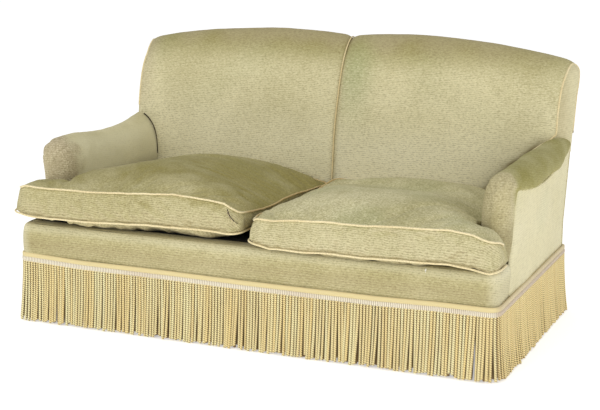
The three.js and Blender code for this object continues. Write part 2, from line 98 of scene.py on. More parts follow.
def smooth_line(points, count):
    """A smooth curve through the points, as this many evenly spaced ones."""
    p = [Vector(q) for q in points]
    p = [2 * p[0] - p[1], *p, 2 * p[-1] - p[-2]]
    dense = []
    for i in range(1, len(p) - 2):
        for k in range(24):
            t = k / 24
            a, b, c, d = p[i - 1 : i + 3]
            bend = (2 * a - 5 * b + 4 * c - d) * t**2 + (3 * b - a - 3 * c + d) * t**3
            dense.append(0.5 * (2 * b + (c - a) * t + bend))
    dense.append(p[-2])
    return evenly(dense, count)


def evenly(line, count, closed=False):
    """The same line as this many points, spaced evenly along it."""
    line = [Vector(q) for q in line] + ([Vector(line[0])] if closed else [])
    reach = np.concatenate([[0.0], np.cumsum([(b - a).length for a, b in zip(line, line[1:])])])
    wanted = np.linspace(0, reach[-1], count, endpoint=not closed)
    axes = [np.interp(wanted, reach, [q[i] for q in line]) for i in range(len(line[0]))]
    return [Vector(q) for q in zip(*axes)]


def mesh_piece(name, points, faces, smooth=True):
    mesh = bpy.data.meshes.new(name)
    mesh.from_pydata([tuple(p) for p in points], [], faces)
    mesh.update()
    piece = bpy.data.objects.new(name, mesh)
    bpy.context.scene.collection.objects.link(piece)
    if smooth:
        mesh.shade_smooth()
    return piece


def cloth_grid(name, rows, closed=False, ends=False):
    """A surface through rows of points, with its UV map in metres. closed joins each row's last point
    to its first, and ends fills the first and last rows."""
    count = len(rows[0])
    points = [p for row in rows for p in row]
    faces = []
    steps = count if closed else count - 1
    for r in range(len(rows) - 1):
        for c in range(steps):
            a, b = r * count + c, r * count + (c + 1) % count
            faces.append((a, b, b + count, a + count))
    if ends:
        last = (len(rows) - 1) * count
        faces += [tuple(reversed(range(count))), tuple(range(last, last + count))]
    piece = mesh_piece(name, points, faces)
    across = [0.0]
    middle = rows[len(rows) // 2]
    for a, b in zip(middle, [*middle[1:], middle[0]]):
        across.append(across[-1] + (Vector(b) - Vector(a)).length)
    along = [0.0]
    for a, b in zip(rows, rows[1:]):
        along.append(along[-1] + (Vector(b[count // 2]) - Vector(a[count // 2])).length)
    layer = piece.data.uv_layers.new(name="cloth")
    for polygon in piece.data.polygons:
        for loop in polygon.loop_indices:
            r, c = divmod(piece.data.loops[loop].vertex_index, count)
            furthest = max(piece.data.loops[k].vertex_index % count for k in polygon.loop_indices)
            wrapped = closed and c == 0 and furthest == count - 1
            layer.data[loop].uv = (across[count if wrapped else c], along[r])
    return piece


def outward(piece):
    """Turns a closed mesh's faces to point out."""
    bm = bmesh.new()
    bm.from_mesh(piece.data)
    bmesh.ops.remove_doubles(bm, verts=bm.verts, dist=1e-6)
    bmesh.ops.recalc_face_normals(bm, faces=bm.faces)
    bm.to_mesh(piece.data)
    bm.free()
    piece.data.shade_smooth()
    return piece


def apply_modifiers(piece):
    """Turns the evaluated mesh into the piece's own, with no modifier left on it."""
    bpy.context.view_layer.update()
    evaluated = piece.evaluated_get(bpy.context.evaluated_depsgraph_get())
    mesh = bpy.data.meshes.new_from_object(evaluated)
    old = piece.data
    piece.modifiers.clear()
    piece.data = mesh
    mesh.name = piece.name
    bpy.data.meshes.remove(old)
    return piece


def remeshed(piece, voxel, rounds=0):
    """Even small faces all over, softened by this many rounds."""
    modifier = piece.modifiers.new("remesh", "REMESH")
    modifier.mode = "VOXEL"
    modifier.voxel_size = voxel
    if rounds:
        soften = piece.modifiers.new("soften", "SMOOTH")
        soften.factor = 0.5
        soften.iterations = rounds
    apply_modifiers(piece)
    piece.data.shade_smooth()
    return piece


def move_points(piece, mover):
    """Moves each vertex to where mover(point, normal) says."""
    normals = [v.normal.copy() for v in piece.data.vertices]
    for v, n in zip(piece.data.vertices, normals):
        v.co = mover(v.co.copy(), n)
    piece.data.update()
    return piece


def store(mesh, name, values):
    """Stores one number on each vertex."""
    mesh.attributes.new(name, "FLOAT", "POINT").data.foreach_set("value", values)


def paint(piece, name, shade):
    """Stores shade(point, normal) on each vertex for the material to read."""
    store(piece.data, name, [shade(v.co, v.normal) for v in piece.data.vertices])


def tube(name, line, radius, sides=8, closed=False):
    """A round cord along a line, its UV map in metres round and along."""
    line = [Vector(p) for p in line]
    count = len(line)
    rings = []
    turned = None
    for i, p in enumerate(line):
        before = line[i - 1] if i or closed else p
        after = line[(i + 1) % count] if i < count - 1 or closed else p
        heading = (after - before).normalized()
        if turned is None:
            turned = heading.orthogonal().normalized()
        turned = (turned - heading * turned.dot(heading)).normalized()
        other = heading.cross(turned)
        ring = []
        for k in range(sides):
            angle = 2 * math.pi * k / sides
            ring.append(p + turned * (radius * math.cos(angle)) + other * (radius * math.sin(angle)))
        rings.append(ring)
    if closed:
        # the frame turned on its way round, so the last ring joins the nearest points of the first
        last, every = rings[-1], range(sides)
        gaps = [sum((last[(k + s) % sides] - rings[0][k]).length for k in every) for s in every]
        shift = gaps.index(min(gaps))
        first = [rings[0][(k - shift) % sides] for k in range(sides)]
        return outward(cloth_grid(name, [*rings, first], closed=True))
    return outward(cloth_grid(name, rings, closed=True, ends=True))


def joined(name, pieces):
    """Several meshes as one object."""
    bm = bmesh.new()
    for piece in pieces:
        bm.from_mesh(piece.data)
    mesh = bpy.data.meshes.new(name)
    bm.to_mesh(mesh)
    bm.free()
    mesh.shade_smooth()
    for piece in pieces:
        old = piece.data
        bpy.data.objects.remove(piece)
        bpy.data.meshes.remove(old)
    result = bpy.data.objects.new(name, mesh)
    bpy.context.scene.collection.objects.link(result)
    return result


def fit_out(piece, material, slot, *replaced):
    """Gives a finished piece its material and its place on the sofa. The slot is not used."""
    piece.data.materials.clear()
    piece.data.materials.append(material)
    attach(piece, "root")
    if replaced:
        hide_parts(*replaced)
    return piece


# ------------------------------------------------------------------ materials
class Nodes:
    """Short ways to add nodes to a node tree."""

    def __init__(self, tree):
        self.tree = tree

    def put(self, value, socket):
        """Links another node's socket to this one, or sets a plain value on it."""
        if isinstance(value, bpy.types.NodeSocket):
            self.tree.links.new(value, socket)
        else:
            socket.default_value = value

    def node(self, kind, settings=None, **inputs):
        """Adds a node and gives back its outputs."""
        made = self.tree.nodes.new(kind)
        for key, value in (settings or {}).items():
            setattr(made, key, value)
        for key, value in inputs.items():
            self.put(value, made.inputs[key.replace("_", " ")])
        return made.outputs

    def sums(self, operation, *values, kind="ShaderNodeMath"):
        made = self.tree.nodes.new(kind)
        made.operation = operation
        for socket, value in zip(made.inputs, values):
            self.put(value, socket)
        return made.outputs[1 if operation == "DOT_PRODUCT" else 0]

    def vector(self, operation, *values):
        return self.sums(operation, *values, kind="ShaderNodeVectorMath")


class Finish(Nodes):
    """A principled material."""

    def __init__(self, name, roughness, **sockets):
        self.material = bpy.data.materials.new(name)
        self.material.use_nodes = True
        super().__init__(self.material.node_tree)
        self.shader = self.tree.nodes["Principled BSDF"]
        self.shader.inputs["Roughness"].default_value = roughness
        for socket, value in sockets.items():
            self.shader.inputs[socket.replace("_", " ")].default_value = value

    def place(self, scale=(1, 1, 1)):
        """Where a point lies on the sofa, in steps of 1 / scale along each axis."""
        coordinate = self.node("ShaderNodeTexCoord")["Object"]
        return self.node("ShaderNodeMapping", Vector=coordinate, Scale=scale)["Vector"]

    def cloth_place(self):
        """The piece's own UV map, as x, y and z."""
        uv = self.node("ShaderNodeUVMap", {"uv_map": "cloth"})["UV"]
        return self.node("ShaderNodeSeparateXYZ", Vector=uv)

    def noise(self, scale, detail=2.0, roughness=0.5, distortion=0.0):
        """Cloudy noise with about this many lumps to the metre along each axis."""
        return self.node("ShaderNodeTexNoise", Vector=self.place(scale), Scale=1.0, Detail=detail,
                         Roughness=roughness, Distortion=distortion)["Fac"]

    def attribute(self, name):
        return self.node("ShaderNodeAttribute", {"attribute_name": name})["Fac"]

    def span(self, value, low, high, to_low=0.0, to_high=1.0):
        """Carries a value smoothly from one range to another."""
        return self.node("ShaderNodeMapRange", {"interpolation_type": "SMOOTHSTEP"}, Value=value,
                         From_Min=low, From_Max=high, To_Min=to_low, To_Max=to_high)["Result"]

    def mix(self, factor, a, b):
        """One colour or socket mixed with another."""
        made = self.tree.nodes.new("ShaderNodeMix")
        made.data_type = "RGBA"
        for index, value in ((0, factor), (6, a), (7, b)):
            self.put((*value, 1.0) if isinstance(value, tuple) else value, made.inputs[index])
        return made.outputs[2]

    def colour(self, value):
        self.put(value, self.shader.inputs["Base Color"])

    def relief(self, height, depth):
        """Bumps this deep in metres."""
        normal = self.node("ShaderNodeBump", Height=height, Distance=depth)["Normal"]
        self.put(normal, self.shader.inputs["Normal"])


# colours of the velvet and its wear
PALE_SAGE = (0.66, 0.60, 0.355)
DEEP_SAGE = (0.240, 0.203, 0.036)
WORN_TAN = (0.46, 0.385, 0.245)
BARE_CREAM = (0.76, 0.71, 0.50)
GREEN_SHADE = (0.33, 0.37, 0.165)
PILE_SHADOW = (0.16, 0.125, 0.05)
SLUB_LIGHT = (0.88, 0.82, 0.56)
DULL_SLUB = (0.44, 0.39, 0.17)
PIPING_CREAM = (0.84, 0.73, 0.44)
PIPING_GOLD = (0.50, 0.33, 0.09)
RIB_PITCH = 0.0078


def chenille(name, across=(0, 1, 1), slubs=(55, 150, 150), depth=0.0011, contrast=0.5, ribs=0.55):
    """Ribbed chenille velvet. across is the direction in which one rib follows another, and slubs says
    how tightly its flecks repeat along x, y and z."""
    f = Finish(name, 0.92, Sheen_Weight=0.14, Sheen_Roughness=0.45, Specular_IOR_Level=0.12)
    f.shader.inputs["Sheen Tint"].default_value = (0.93, 0.90, 0.72, 1.0)
    step = f.vector("DOT_PRODUCT", f.place(), tuple(c / RIB_PITCH for c in across))
    wander = f.sums("MULTIPLY", f.noise((9, 9, 9), 2.0), 1.6)
    ribbing = f.sums("PINGPONG", f.sums("ADD", step, wander), 0.5)
    fleck = f.noise(slubs, 2.5, 0.6, 0.6)
    weave = f.sums("MULTIPLY_ADD", ribbing, ribs, f.sums("ADD", fleck, (0.55 - ribs) * 0.25))
    rough = f.sums("MULTIPLY_ADD", f.attribute("smooth"), -0.85, 1.0)
    grain = f.noise((700, 700, 700), 1.0)
    cloudy = f.noise((3.1, 3.1, 3.1), 4.0, 0.6, 0.7)
    patches = f.span(cloudy, 0.36, 0.68)
    ground = f.mix(f.sums("MULTIPLY", patches, 0.26), PALE_SAGE, DEEP_SAGE)
    ground = f.mix(f.attribute("crushed"), ground, DEEP_SAGE)
    ground = f.mix(f.attribute("green"), ground, GREEN_SHADE)
    ground = f.mix(f.attribute("worn"), ground, WORN_TAN)
    ground = f.mix(f.attribute("bare"), ground, BARE_CREAM)
    light = f.sums("MULTIPLY", rough, f.span(weave, 0.63, 0.84, 0.0, 0.66 * contrast))
    dark = f.sums("MULTIPLY", rough, f.span(weave, 0.63, 0.44, 0.0, 0.60 * contrast))
    ground = f.mix(light, ground, f.mix(f.attribute("crushed"), SLUB_LIGHT, DULL_SLUB))
    ground = f.mix(dark, ground, PILE_SHADOW)
    # painted shade: this attribute darkens the cloth in creases, along seams and where parts meet, where
    # shade falls
    ground = f.mix(f.attribute("painted_shade"), ground, PILE_SHADOW)
    f.colour(ground)
    f.relief(f.sums("ADD", weave, f.sums("MULTIPLY", grain, 0.3)), depth)
    return f.material


def piping_cloth():
    f = Finish("cream_piping", 0.8, Sheen_Weight=0.2)
    twist = f.noise((260, 260, 260), 2.0)
    stain = f.span(f.noise((9, 9, 9), 3.0), 0.38, 0.66)
    tone = f.mix(f.sums("MULTIPLY", stain, 0.50), PIPING_CREAM, (0.74, 0.60, 0.31))
    tone = f.mix(f.attribute("gilt"), tone, PIPING_GOLD)
    f.colour(f.mix(f.span(twist, 0.55, 0.35, 0.0, 0.35), tone, (0.35, 0.25, 0.10)))
    f.relief(twist, 0.0012)
    return f.material


def bullion_yarn():
    """Twisted gold cord: grooves run aslant round the strand as it falls."""
    f = Finish("bullion_yarn", 0.62, Sheen_Weight=0.15, Specular_IOR_Level=0.3)
    parts = f.cloth_place()
    # u goes once round the cord, v runs down it in metres
    slant = f.sums("ADD", f.sums("MULTIPLY", parts["X"], 2.0), f.sums("MULTIPLY", parts["Y"], 140.0))
    groove = f.span(f.sums("PINGPONG", slant, 0.5), 0.05, 0.36)
    yarn = f.mix(f.attribute("strand_tone_and_side_shade"), (1.0, 0.80, 0.36), (1.0, 0.93, 0.53))
    yarn = f.mix(f.span(f.noise((14, 14, 5), 3.0), 0.40, 0.70, 0.0, 0.35), yarn, (0.86, 0.67, 0.30))
    # painted shade: darker in the grooves of the twist and on each cord's flanks, which turn to its
    # neighbours; the inner layer is painted darker as shaded
    flank = f.span(f.attribute("flank"), 0.50, 0.95)
    hollow = f.sums("SUBTRACT", 1.0, groove)
    cord_shade = f.sums("MULTIPLY", flank, f.sums("MULTIPLY_ADD", hollow, 0.70, 0.22))
    cord_shade = f.sums("ADD", cord_shade, f.sums("MULTIPLY", hollow, 0.48))
    yarn = f.mix(cord_shade, yarn, (0.150, 0.066, 0.014))
    f.colour(f.mix(f.sums("MULTIPLY", f.attribute("shaded"), 0.78), yarn, (0.21, 0.105, 0.032)))
    f.relief(groove, 0.0022)
    return f.material


def braid_heading():
    """The woven heading: a narrow gold band over a cream band of close upright ribs."""
    f = Finish("braid_heading", 0.75, Sheen_Weight=0.2)
    parts = f.cloth_place()
    around, up = parts["X"], parts["Y"]
    ribs = f.sums("PINGPONG", f.sums("MULTIPLY", around, 1 / 0.0062), 0.5)
    lines = f.sums("PINGPONG", f.sums("MULTIPLY", up, 1 / 0.0035), 0.5)
    lower, faded = f.attribute("ribbed_band"), f.attribute("faded")
    gold = f.mix(f.sums("MULTIPLY", lines, 0.9), (0.74, 0.62, 0.32), (0.50, 0.39, 0.17))
    gold = f.mix(faded, gold, (0.60, 0.49, 0.27))
    stain = f.span(f.noise((4, 4, 4), 3.0), 0.42, 0.66, 0.0, 0.35)
    cream = f.mix(f.sums("MAXIMUM", stain, faded), (0.83, 0.77, 0.61), (0.64, 0.51, 0.37))
    cream = f.mix(f.span(ribs, 0.06, 0.30), (0.44, 0.34, 0.22), cream)
    f.colour(f.mix(lower, gold, cream))
    height = f.mix(lower, (0, 0, 0), (1, 1, 1))
    relief = f.sums("ADD", f.sums("MULTIPLY", height, f.span(ribs, 0.0, 0.3)), f.sums("MULTIPLY", lines, 0.4))
    f.relief(relief, 0.0012)
    return f.material


def fluff():
    f = Finish("white_fluff", 0.95, Sheen_Weight=0.3)
    tangle = f.noise((400, 400, 400), 2.0)
    f.colour(f.mix(tangle, (0.80, 0.79, 0.75), (0.95, 0.94, 0.91)))
    f.relief(tangle, 0.0006)
    return f.material


def hollow_dark():
    """The shade inside a split or a deep crease."""
    f = Finish("split_dark", 1.0, Specular_IOR_Level=0.05)
    f.colour(f.mix(f.noise((300, 300, 300), 2.0), (0.035, 0.028, 0.018), (0.09, 0.07, 0.045)))
    return f.material


def timber(name, light, dark, along, roughness):
    """Sawn or waxed wood whose grain runs along one axis."""
    f = Finish(name, roughness)
    stretch = [34.0, 34.0, 34.0]
    stretch["xyz".index(along)] = 2.2
    grain = f.noise(tuple(stretch), 5.0, 0.6, 1.2)
    pores = f.noise(tuple(6 * s for s in stretch), 2.0)
    tone = f.mix(f.span(grain, 0.35, 0.68), light, dark)
    f.colour(f.mix(f.span(pores, 0.62, 0.75, 0.0, 0.5), tone, dark))
    f.relief(f.sums("ADD", grain, f.sums("MULTIPLY", pores, 0.5)), 0.0006)
    return f.material


def woven(name, light, dark, pitch, roughness=0.95):
    """A plain weave: threads crossing at one pitch, with slubs."""
    f = Finish(name, roughness)
    where = f.node("ShaderNodeSeparateXYZ", Vector=f.place((1 / pitch, 1 / pitch, 1 / pitch)))
    over = f.sums("PINGPONG", where["X"], 0.5)
    under = f.sums("PINGPONG", f.sums("ADD", where["Y"], where["Z"]), 0.5)
    threads = f.sums("MAXIMUM", over, under)
    slub = f.noise((60, 60, 60), 3.0)
    tone = f.mix(f.span(slub, 0.35, 0.65), light, dark)
    f.colour(f.mix(f.span(threads, 0.30, 0.10), tone, tuple(0.4 * c for c in dark)))
    f.relief(threads, 0.4 * pitch)
    return f.material


def spring_wire():
    f = Finish("spring_wire", 0.38, Metallic=0.9)
    rust = f.span(f.noise((70, 70, 70), 4.0), 0.52, 0.68)
    f.colour(f.mix(rust, (0.42, 0.40, 0.38), (0.22, 0.10, 0.05)))
    f.relief(rust, 0.0003)
    return f.material


def curled_hair():
    f = Finish("curled_hair", 1.0)
    tangle = f.noise((160, 160, 160), 5.0, 0.7, 2.5)
    f.colour(f.mix(f.span(tangle, 0.35, 0.65), (0.26, 0.19, 0.12), (0.08, 0.055, 0.035)))
    f.relief(tangle, 0.003)
    return f.material


def studio_floor():
    f = Finish("studio_floor", 0.9, Specular_IOR_Level=0.1)
    tone = f.noise((0.4, 0.4, 0.4), 2.0)
    f.colour(f.mix(tone, (0.93, 0.93, 0.93), (0.96, 0.96, 0.96)))
    f.shader.inputs["Emission Color"].default_value = (1.0, 1.0, 1.0, 1.0)
    f.shader.inputs["Emission Strength"].default_value = 0.46
    return f.material


# ------------------------------------------------------------------ camera, floor and lights
def camera():
    focus = Vector((0.0165, -0.055, 0.395))
    turn, rise, away = math.radians(23.046), math.radians(13.113), 5.272
    data = bpy.data.cameras.new("camera")
    data.lens = 91.56
    data.sensor_width = 36.0
    eye = bpy.data.objects.new("camera", data)
    bpy.context.scene.collection.objects.link(eye)
    direction = Vector((math.sin(turn) * math.cos(rise), -math.cos(turn) * math.cos(rise), math.sin(rise)))
    eye.location = focus + away * direction
    eye.rotation_euler = (-direction).to_track_quat("-Z", "Y").to_euler()
    bpy.context.scene.camera = eye


def area_light(name, place, aim, size, power):
    data = bpy.data.lights.new(name, "AREA")
    data.shape = "RECTANGLE"
    data.size, data.size_y = size
    data.energy = power
    light = bpy.data.objects.new(name, data)
    bpy.context.scene.collection.objects.link(light)
    light.location = place
    light.rotation_euler = (Vector(aim) - Vector(place)).to_track_quat("-Z", "Y").to_euler()


FLOOR_HALF = 40.0
WORLD_LIGHT = 0.62  # how strongly the room lights the sofa
ROOM_WHITE = 1.02  # how bright the room itself looks


def studio():
    corners = [(x * FLOOR_HALF, y * FLOOR_HALF, 0) for x, y in ((-1, -1), (1, -1), (1, 1), (-1, 1))]
    floor = mesh_piece("studio_floor", corners, [(0, 1, 2, 3)], smooth=False)
    floor.data.materials.append(studio_floor())
    world = bpy.data.worlds.new("studio")
    world.use_nodes = True
    room = Nodes(world.node_tree)
    background = room.tree.nodes["Background"].inputs
    background["Color"].default_value = (1.0, 1.0, 1.0, 1.0)
    seen = room.node("ShaderNodeLightPath")["Is Camera Ray"]
    strength = room.node("ShaderNodeMapRange", Value=seen, To_Min=WORLD_LIGHT, To_Max=ROOM_WHITE)["Result"]
    room.put(strength, background["Strength"])
    bpy.context.scene.world = world
    bpy.context.scene.view_settings.view_transform = "Standard"
    area_light("key", (-1.2, -4.4, 2.3), (0, 0, 0.4), (2.6, 2.0), 66)
    area_light("fill", (3.8, -2.2, 1.5), (0, 0, 0.4), (2.4, 2.4), 36)
    area_light("top", (0, 0.4, 3.8), (0, 0, 0.4), (4.0, 2.4), 10)


# ------------------------------------------------------------------ the back
BACK_SECTION = (  # the back's outline in (y, z): from the seat up the front, over the roll, down behind
    (0.297, 0.3436), (0.306, 0.400), (0.314, 0.460), (0.322, 0.530), (0.333, 0.610), (0.348, 0.700),
    (0.364, 0.776), (0.388, 0.836), (0.425, 0.884), (0.467, 0.913), (0.497, 0.912), (0.515, 0.888),
    (0.519, 0.858), (0.514, 0.825), (0.502, 0.795), (0.491, 0.768),
)
NOMINAL_TOP = 0.915  # the outline above STRETCH_FROM is stretched from here to the back's own height
STRETCH_FROM = 0.70
BACK_RAKE = 0.2745
LEAN_FROM = 0.320  # height where the outside of the back starts to lean
ELBOW = 0.631  # height where the end piping turns in over the arm


def rear_plane(z, clear=0.0):
    """Where the flat outside of the back stands at a height."""
    return 0.3605 + BACK_RAKE * max(0.0, z - LEAN_FROM) + clear


def back_height(x):
    """Height of the back's top: crowned over each seat, dipped at the seam, rounded at the ends."""
    beyond = max(0.0, abs(x) - (0.25 if x < 0 else 0.20))
    dip = 0.014 * math.exp(-abs(x) / 0.08)
    return 0.931 - 0.17 * beyond**2 - dip - 0.006 * smoothstep(0.785, 0.84, abs(x)) ** 2


def back_edge(side, y, z):
    """How far out the inside cover reaches: both ends have drawn in at the front, the right one further."""
    if z < 0.885 and y > 0.48:
        return BACK_END
    if side < 0:
        return float(np.interp(y, (0.34, 0.40, 0.47, 0.505), (0.824, 0.818, 0.828, BACK_END)))
    return float(np.interp(y, (0.350, 0.420, 0.462, 0.490, 0.515), (0.811, 0.820, 0.823, 0.829, BACK_END)))


def back_rows(section_count=64):
    return smooth_line([(y, z, 0) for y, z in BACK_SECTION], section_count)


def back_point(x, section):
    y, z = section[0], section[1]
    above = max(0.0, z - STRETCH_FROM)
    stretch = (back_height(x) - STRETCH_FROM) / (NOMINAL_TOP - STRETCH_FROM)
    return Vector((x, y, min(z, STRETCH_FROM) + above * stretch))


def back_front(z):
    """How far back the inside of the back stands at a height."""
    return float(np.interp(z, [q[1] for q in BACK_SECTION[:9]], [q[0] for q in BACK_SECTION[:9]]))


def seam_x(z):
    """The back's centre seam runs a little to the left as it falls."""
    return -0.011 * smoothstep(0.86, 0.56, z)


def sheet_cover(piece, thickness):
    """Gives an open cover its thickness, inwards."""
    solid = piece.modifiers.new("cover", "SOLIDIFY")
    solid.thickness = thickness
    solid.offset = -1
    apply_modifiers(piece)
    piece.data.shade_smooth()
    return piece


def facing(piece, direction):
    """Turns an open sheet's faces so that most of them point this way."""
    direction = Vector(direction)
    if sum(f.normal.dot(direction) * f.area for f in piece.data.polygons) < 0:
        piece.data.flip_normals()
    return piece


PAINTED_SHADE_FROM = {  # heights, and how far out the painted shade beside each arm is darkest
    -1: ((0.45, 0.56, 0.60, 0.63), (0.736, 0.750, 0.774, 0.805)),
    1: ((0.39, 0.42, 0.46, 0.52, 0.55, 0.58, 0.60), (0.56, 0.57, 0.60, 0.655, 0.70, 0.73, 0.75)),
}


def back_panels(cloth):
    section = back_rows()
    columns = 56

    def worn(p, n):
        crest = 0.55 * smoothstep(0.86, 0.93, p.z + 0.03 * soft_noise(p.x, 0, p.z, 0.1))
        return min(0.8, crest + 0.6 * smoothstep(-0.74, -0.83, p.x) * smoothstep(0.55, 0.70, p.z))

    def crushed(p, n):
        level = 0.04 * smoothstep(0.62, 0.42, p.z) + 0.80 * smoothstep(0.78, 0.93, p.z)
        return level + 0.10 * soft_noise(p.x, 0, p.z, 0.18, 6.0)

    def green(p, n):
        by_seam = 0.55 * bump(0.05, 0.11, p.x) * smoothstep(0.0, 0.012, p.x) * bump(0.78, 0.24, p.z)
        return by_seam + 0.10 * smoothstep(0.0, 0.5, soft_noise(p.x, 0, p.z, 0.22, 9.0))

    def bare(p, n):
        pale = 0.22 * bump(0.68, 0.20, p.z + 0.12 * soft_noise(p.x, 0, p.z, 0.3))
        return pale + (0.80 if p.x > 0 else 0.58) * smoothstep(0.68, 0.50, p.z)

    shades = {"worn": worn, "crushed": crushed, "green": green, "bare": bare}
    for side, hand in SIDES:
        rows = []
        for i in range(columns + 1):
            # columns crowd towards the seam and the outer edge, where the cover turns
            share = 0.5 - 0.5 * math.cos(math.pi * i / columns)
            row = []
            for q in section:
                inner, outer = seam_x(q.y), side * back_edge(side, q.x, q.y)
                row.append(back_point(inner + (outer - inner) * share, q))
            rows.append(row)
        piece = facing(cloth_grid(f"inside_back_cover_{hand}", rows), (0, -1, 0.2))

        def plump(p, n, side=side):
            from_seam = abs(p.x - seam_x(p.z))
            from_edge = max(0.0, back_edge(side, p.y, p.z) - abs(p.x))
            held = (1 - math.exp(-from_seam / 0.020)) * (1 - math.exp(-from_edge / 0.016))
            hump = 0.004 * soft_noise(p.x, p.y, p.z, 0.26, 3.1 + side)
            ripple = 0.0012 * soft_noise(p.x, p.y, p.z, 0.055, 7.7)
            pucker = 0.0010 * math.exp(-from_seam / 0.03) * soft_noise(0, p.y, p.z, 0.02, 4.4 + side)
            seam_dip = -0.005 * math.exp(-((from_seam / 0.014) ** 2))
            return p + n * (seam_dip + pucker + (0.0055 + hump + ripple) * held)

        move_points(piece, plump)
        for name, shade in shades.items():
            paint(piece, name, shade)

        # painted shade: darker along the centre seam, and in the crease beside each arm, where the arm's
        # shadow falls on the back
        def painted_shade(p, n, side=side):
            away = max(0.0, float(np.interp(p.z, *PAINTED_SHADE_FROM[side])) - side * p.x)
            crease = 0.6 * math.exp(-away / 0.012) + 0.4 * math.exp(-away / 0.045)
            crease *= smoothstep(0.64, 0.57, p.z)
            return 0.16 * math.exp(-abs(p.x) / 0.01) + (0.92 if side > 0 else 0.20) * crease

        paint(piece, "painted_shade", painted_shade)
        sheet_cover(piece, BACK_SHEET)
        # the right cover leans in where the stuffing would stand, so it stands for the stuffing too
        stuffing = ("back_stuffing",) if side > 0 else ()
        fit_out(piece, cloth, "velvet", f"inside_back_panel_{hand}", *stuffing)


def back_end_lines(side, count, low):
    """The front and the rear edge of one end of the back, both from the same height up to the crest."""
    section = back_rows(240)
    crest = max(range(len(section)), key=lambda i: section[i].y)
    front = [back_point(side * back_edge(side, q.x, q.y), q) for q in section[: crest + 1] if q.y >= low]
    behind = [back_point(side * back_edge(side, q.x, q.y), q) for q in section[crest:]]
    heights = (0.70, 0.66, 0.62, low)
    behind += [Vector((side * BACK_HALF, rear_plane(z, 0.006), z)) for z in heights]
    return evenly(front, count), evenly(list(reversed(behind)), count)


def back_borders(cloth):
    """The strip that closes each end of the back, lightly padded."""
    across = 14
    for side, hand in SIDES:
        front, rear = back_end_lines(side, 44, 0.560)
        rows = []
        for a, b in zip(front, rear):
            row = []
            for i in range(across + 1):
                share = i / across
                q = a.lerp(b, share)
                swell = 0.010 * math.sin(math.pi * share) ** 0.7 * min(1.0, (b - a).length / 0.08)
                row.append(q + Vector((side * swell, 0, 0)))
            rows.append(row)
        piece = facing(cloth_grid(f"back_border_cover_{hand}", rows), (side, 0, 0))
        move_points(piece, lambda p, n: p + n * 0.0012 * soft_noise(p.x, p.y, p.z, 0.05, 1.3))
        paint(piece, "bare", lambda p, n: 0.22 * smoothstep(0.36, 0.46, p.y))
        paint(piece, "worn", lambda p, n: 0.30 * smoothstep(0.46, 0.36, p.y)
              + 0.30 * smoothstep(0.80, 0.88, p.z) + 0.12)
        sheet_cover(piece, BACK_SHEET)
        fit_out(piece, cloth, "velvet", f"back_border_{hand}")


def outside_back(cloth):
    """The plain panel behind, slip-stitched at its edges."""
    low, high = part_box("outside_back_panel")
    half = BACK_HALF
    rows = []
    for i in range(61):
        z = low.z + (high.z - low.z) * i / 60
        row = []
        for k in range(91):
            x = -half + 2 * half * k / 90
            rim = min(half - abs(x), high.z - z)
            y = rear_plane(z) + 0.0035 * (1 - math.exp(-rim / 0.03)) - 0.0015
            y += 0.002 * soft_noise(x, y, z, 0.22, 4.2) * (1 - math.exp(-rim / 0.05))
            row.append((x, y, z))
        rows.append(row)
    piece = sheet_cover(facing(cloth_grid("outside_back_cover", rows), (0, 1, 0)), OUTER_SHEET)
    paint(piece, "worn", lambda p, n: 0.35 * smoothstep(0.70, 0.80, p.z))
    paint(piece, "crushed", lambda p, n: 0.15)
    fit_out(piece, cloth, "velvet", "outside_back_panel")


# ------------------------------------------------------------------ the arms
# The right arm's section in (x, z) at three places along it: from the seat up the inside, over the
# roll and down outside.
NOSE_SECTION = (
    (0.736, 0.3440), (0.734, 0.410), (0.735, 0.480), (0.739, 0.535), (0.751, 0.578), (0.773, 0.605),
    (0.800, 0.616), (0.822, 0.610), (0.837, 0.592), (0.844, 0.575), (0.846, 0.560), (0.845, 0.540),
    (0.842, 0.520), (0.839, 0.480), (0.838, 0.430), (0.836, 0.3440),
)
WAIST_SECTION = (
    (0.734, 0.3440), (0.733, 0.410), (0.734, 0.470), (0.738, 0.520), (0.750, 0.562), (0.772, 0.592),
    (0.799, 0.606), (0.825, 0.603), (0.849, 0.588), (0.864, 0.568), (0.868, 0.552), (0.864, 0.537),
    (0.852, 0.526), (0.838, 0.518), (0.835, 0.470), (0.835, 0.3440),
)
TAIL_SECTION = (
    (0.734, 0.3440), (0.732, 0.410), (0.733, 0.460), (0.738, 0.515), (0.752, 0.563), (0.776, 0.598),
    (0.806, 0.620), (0.830, 0.621), (0.844, 0.608), (0.852, 0.590), (0.853, 0.575), (0.849, 0.563),
    (0.844, 0.555), (0.839, 0.547), (0.835, 0.500), (0.835, 0.3440),
)
ARM_RISE_PLACES = (-0.36, -0.17, 0.03, 0.12, 0.27, 0.38, 0.42)
ARM_RISE = {  # how far each arm's roof stands above or below its sections
    -1: (-0.004, -0.002, -0.018, -0.021, -0.018, -0.012, -0.010),
    1: (0.002, 0.010, 0.018, 0.017, 0.011, -0.006, -0.014),
}


def lip_height(y):
    """Height of the roll's under edge on the outside of the right arm."""
    return float(np.interp(y, (-0.31, -0.26, -0.14, -0.01, 0.06, 0.17, 0.31, 0.39, 0.42),
                           (0.576, 0.565, 0.541, 0.525, 0.522, 0.527, 0.543, 0.578, 0.588)))


def arm_section(y):
    front = smoothstep(-0.04, -0.30, y)
    tail = smoothstep(0.18, 0.36, y)
    section = []
    for nose, waist, end in zip(NOSE_SECTION, WAIST_SECTION, TAIL_SECTION):
        q = Vector(waist).lerp(Vector(nose), front).lerp(Vector(end), tail)
        section.append((q.x, q.y, 0))
    return section


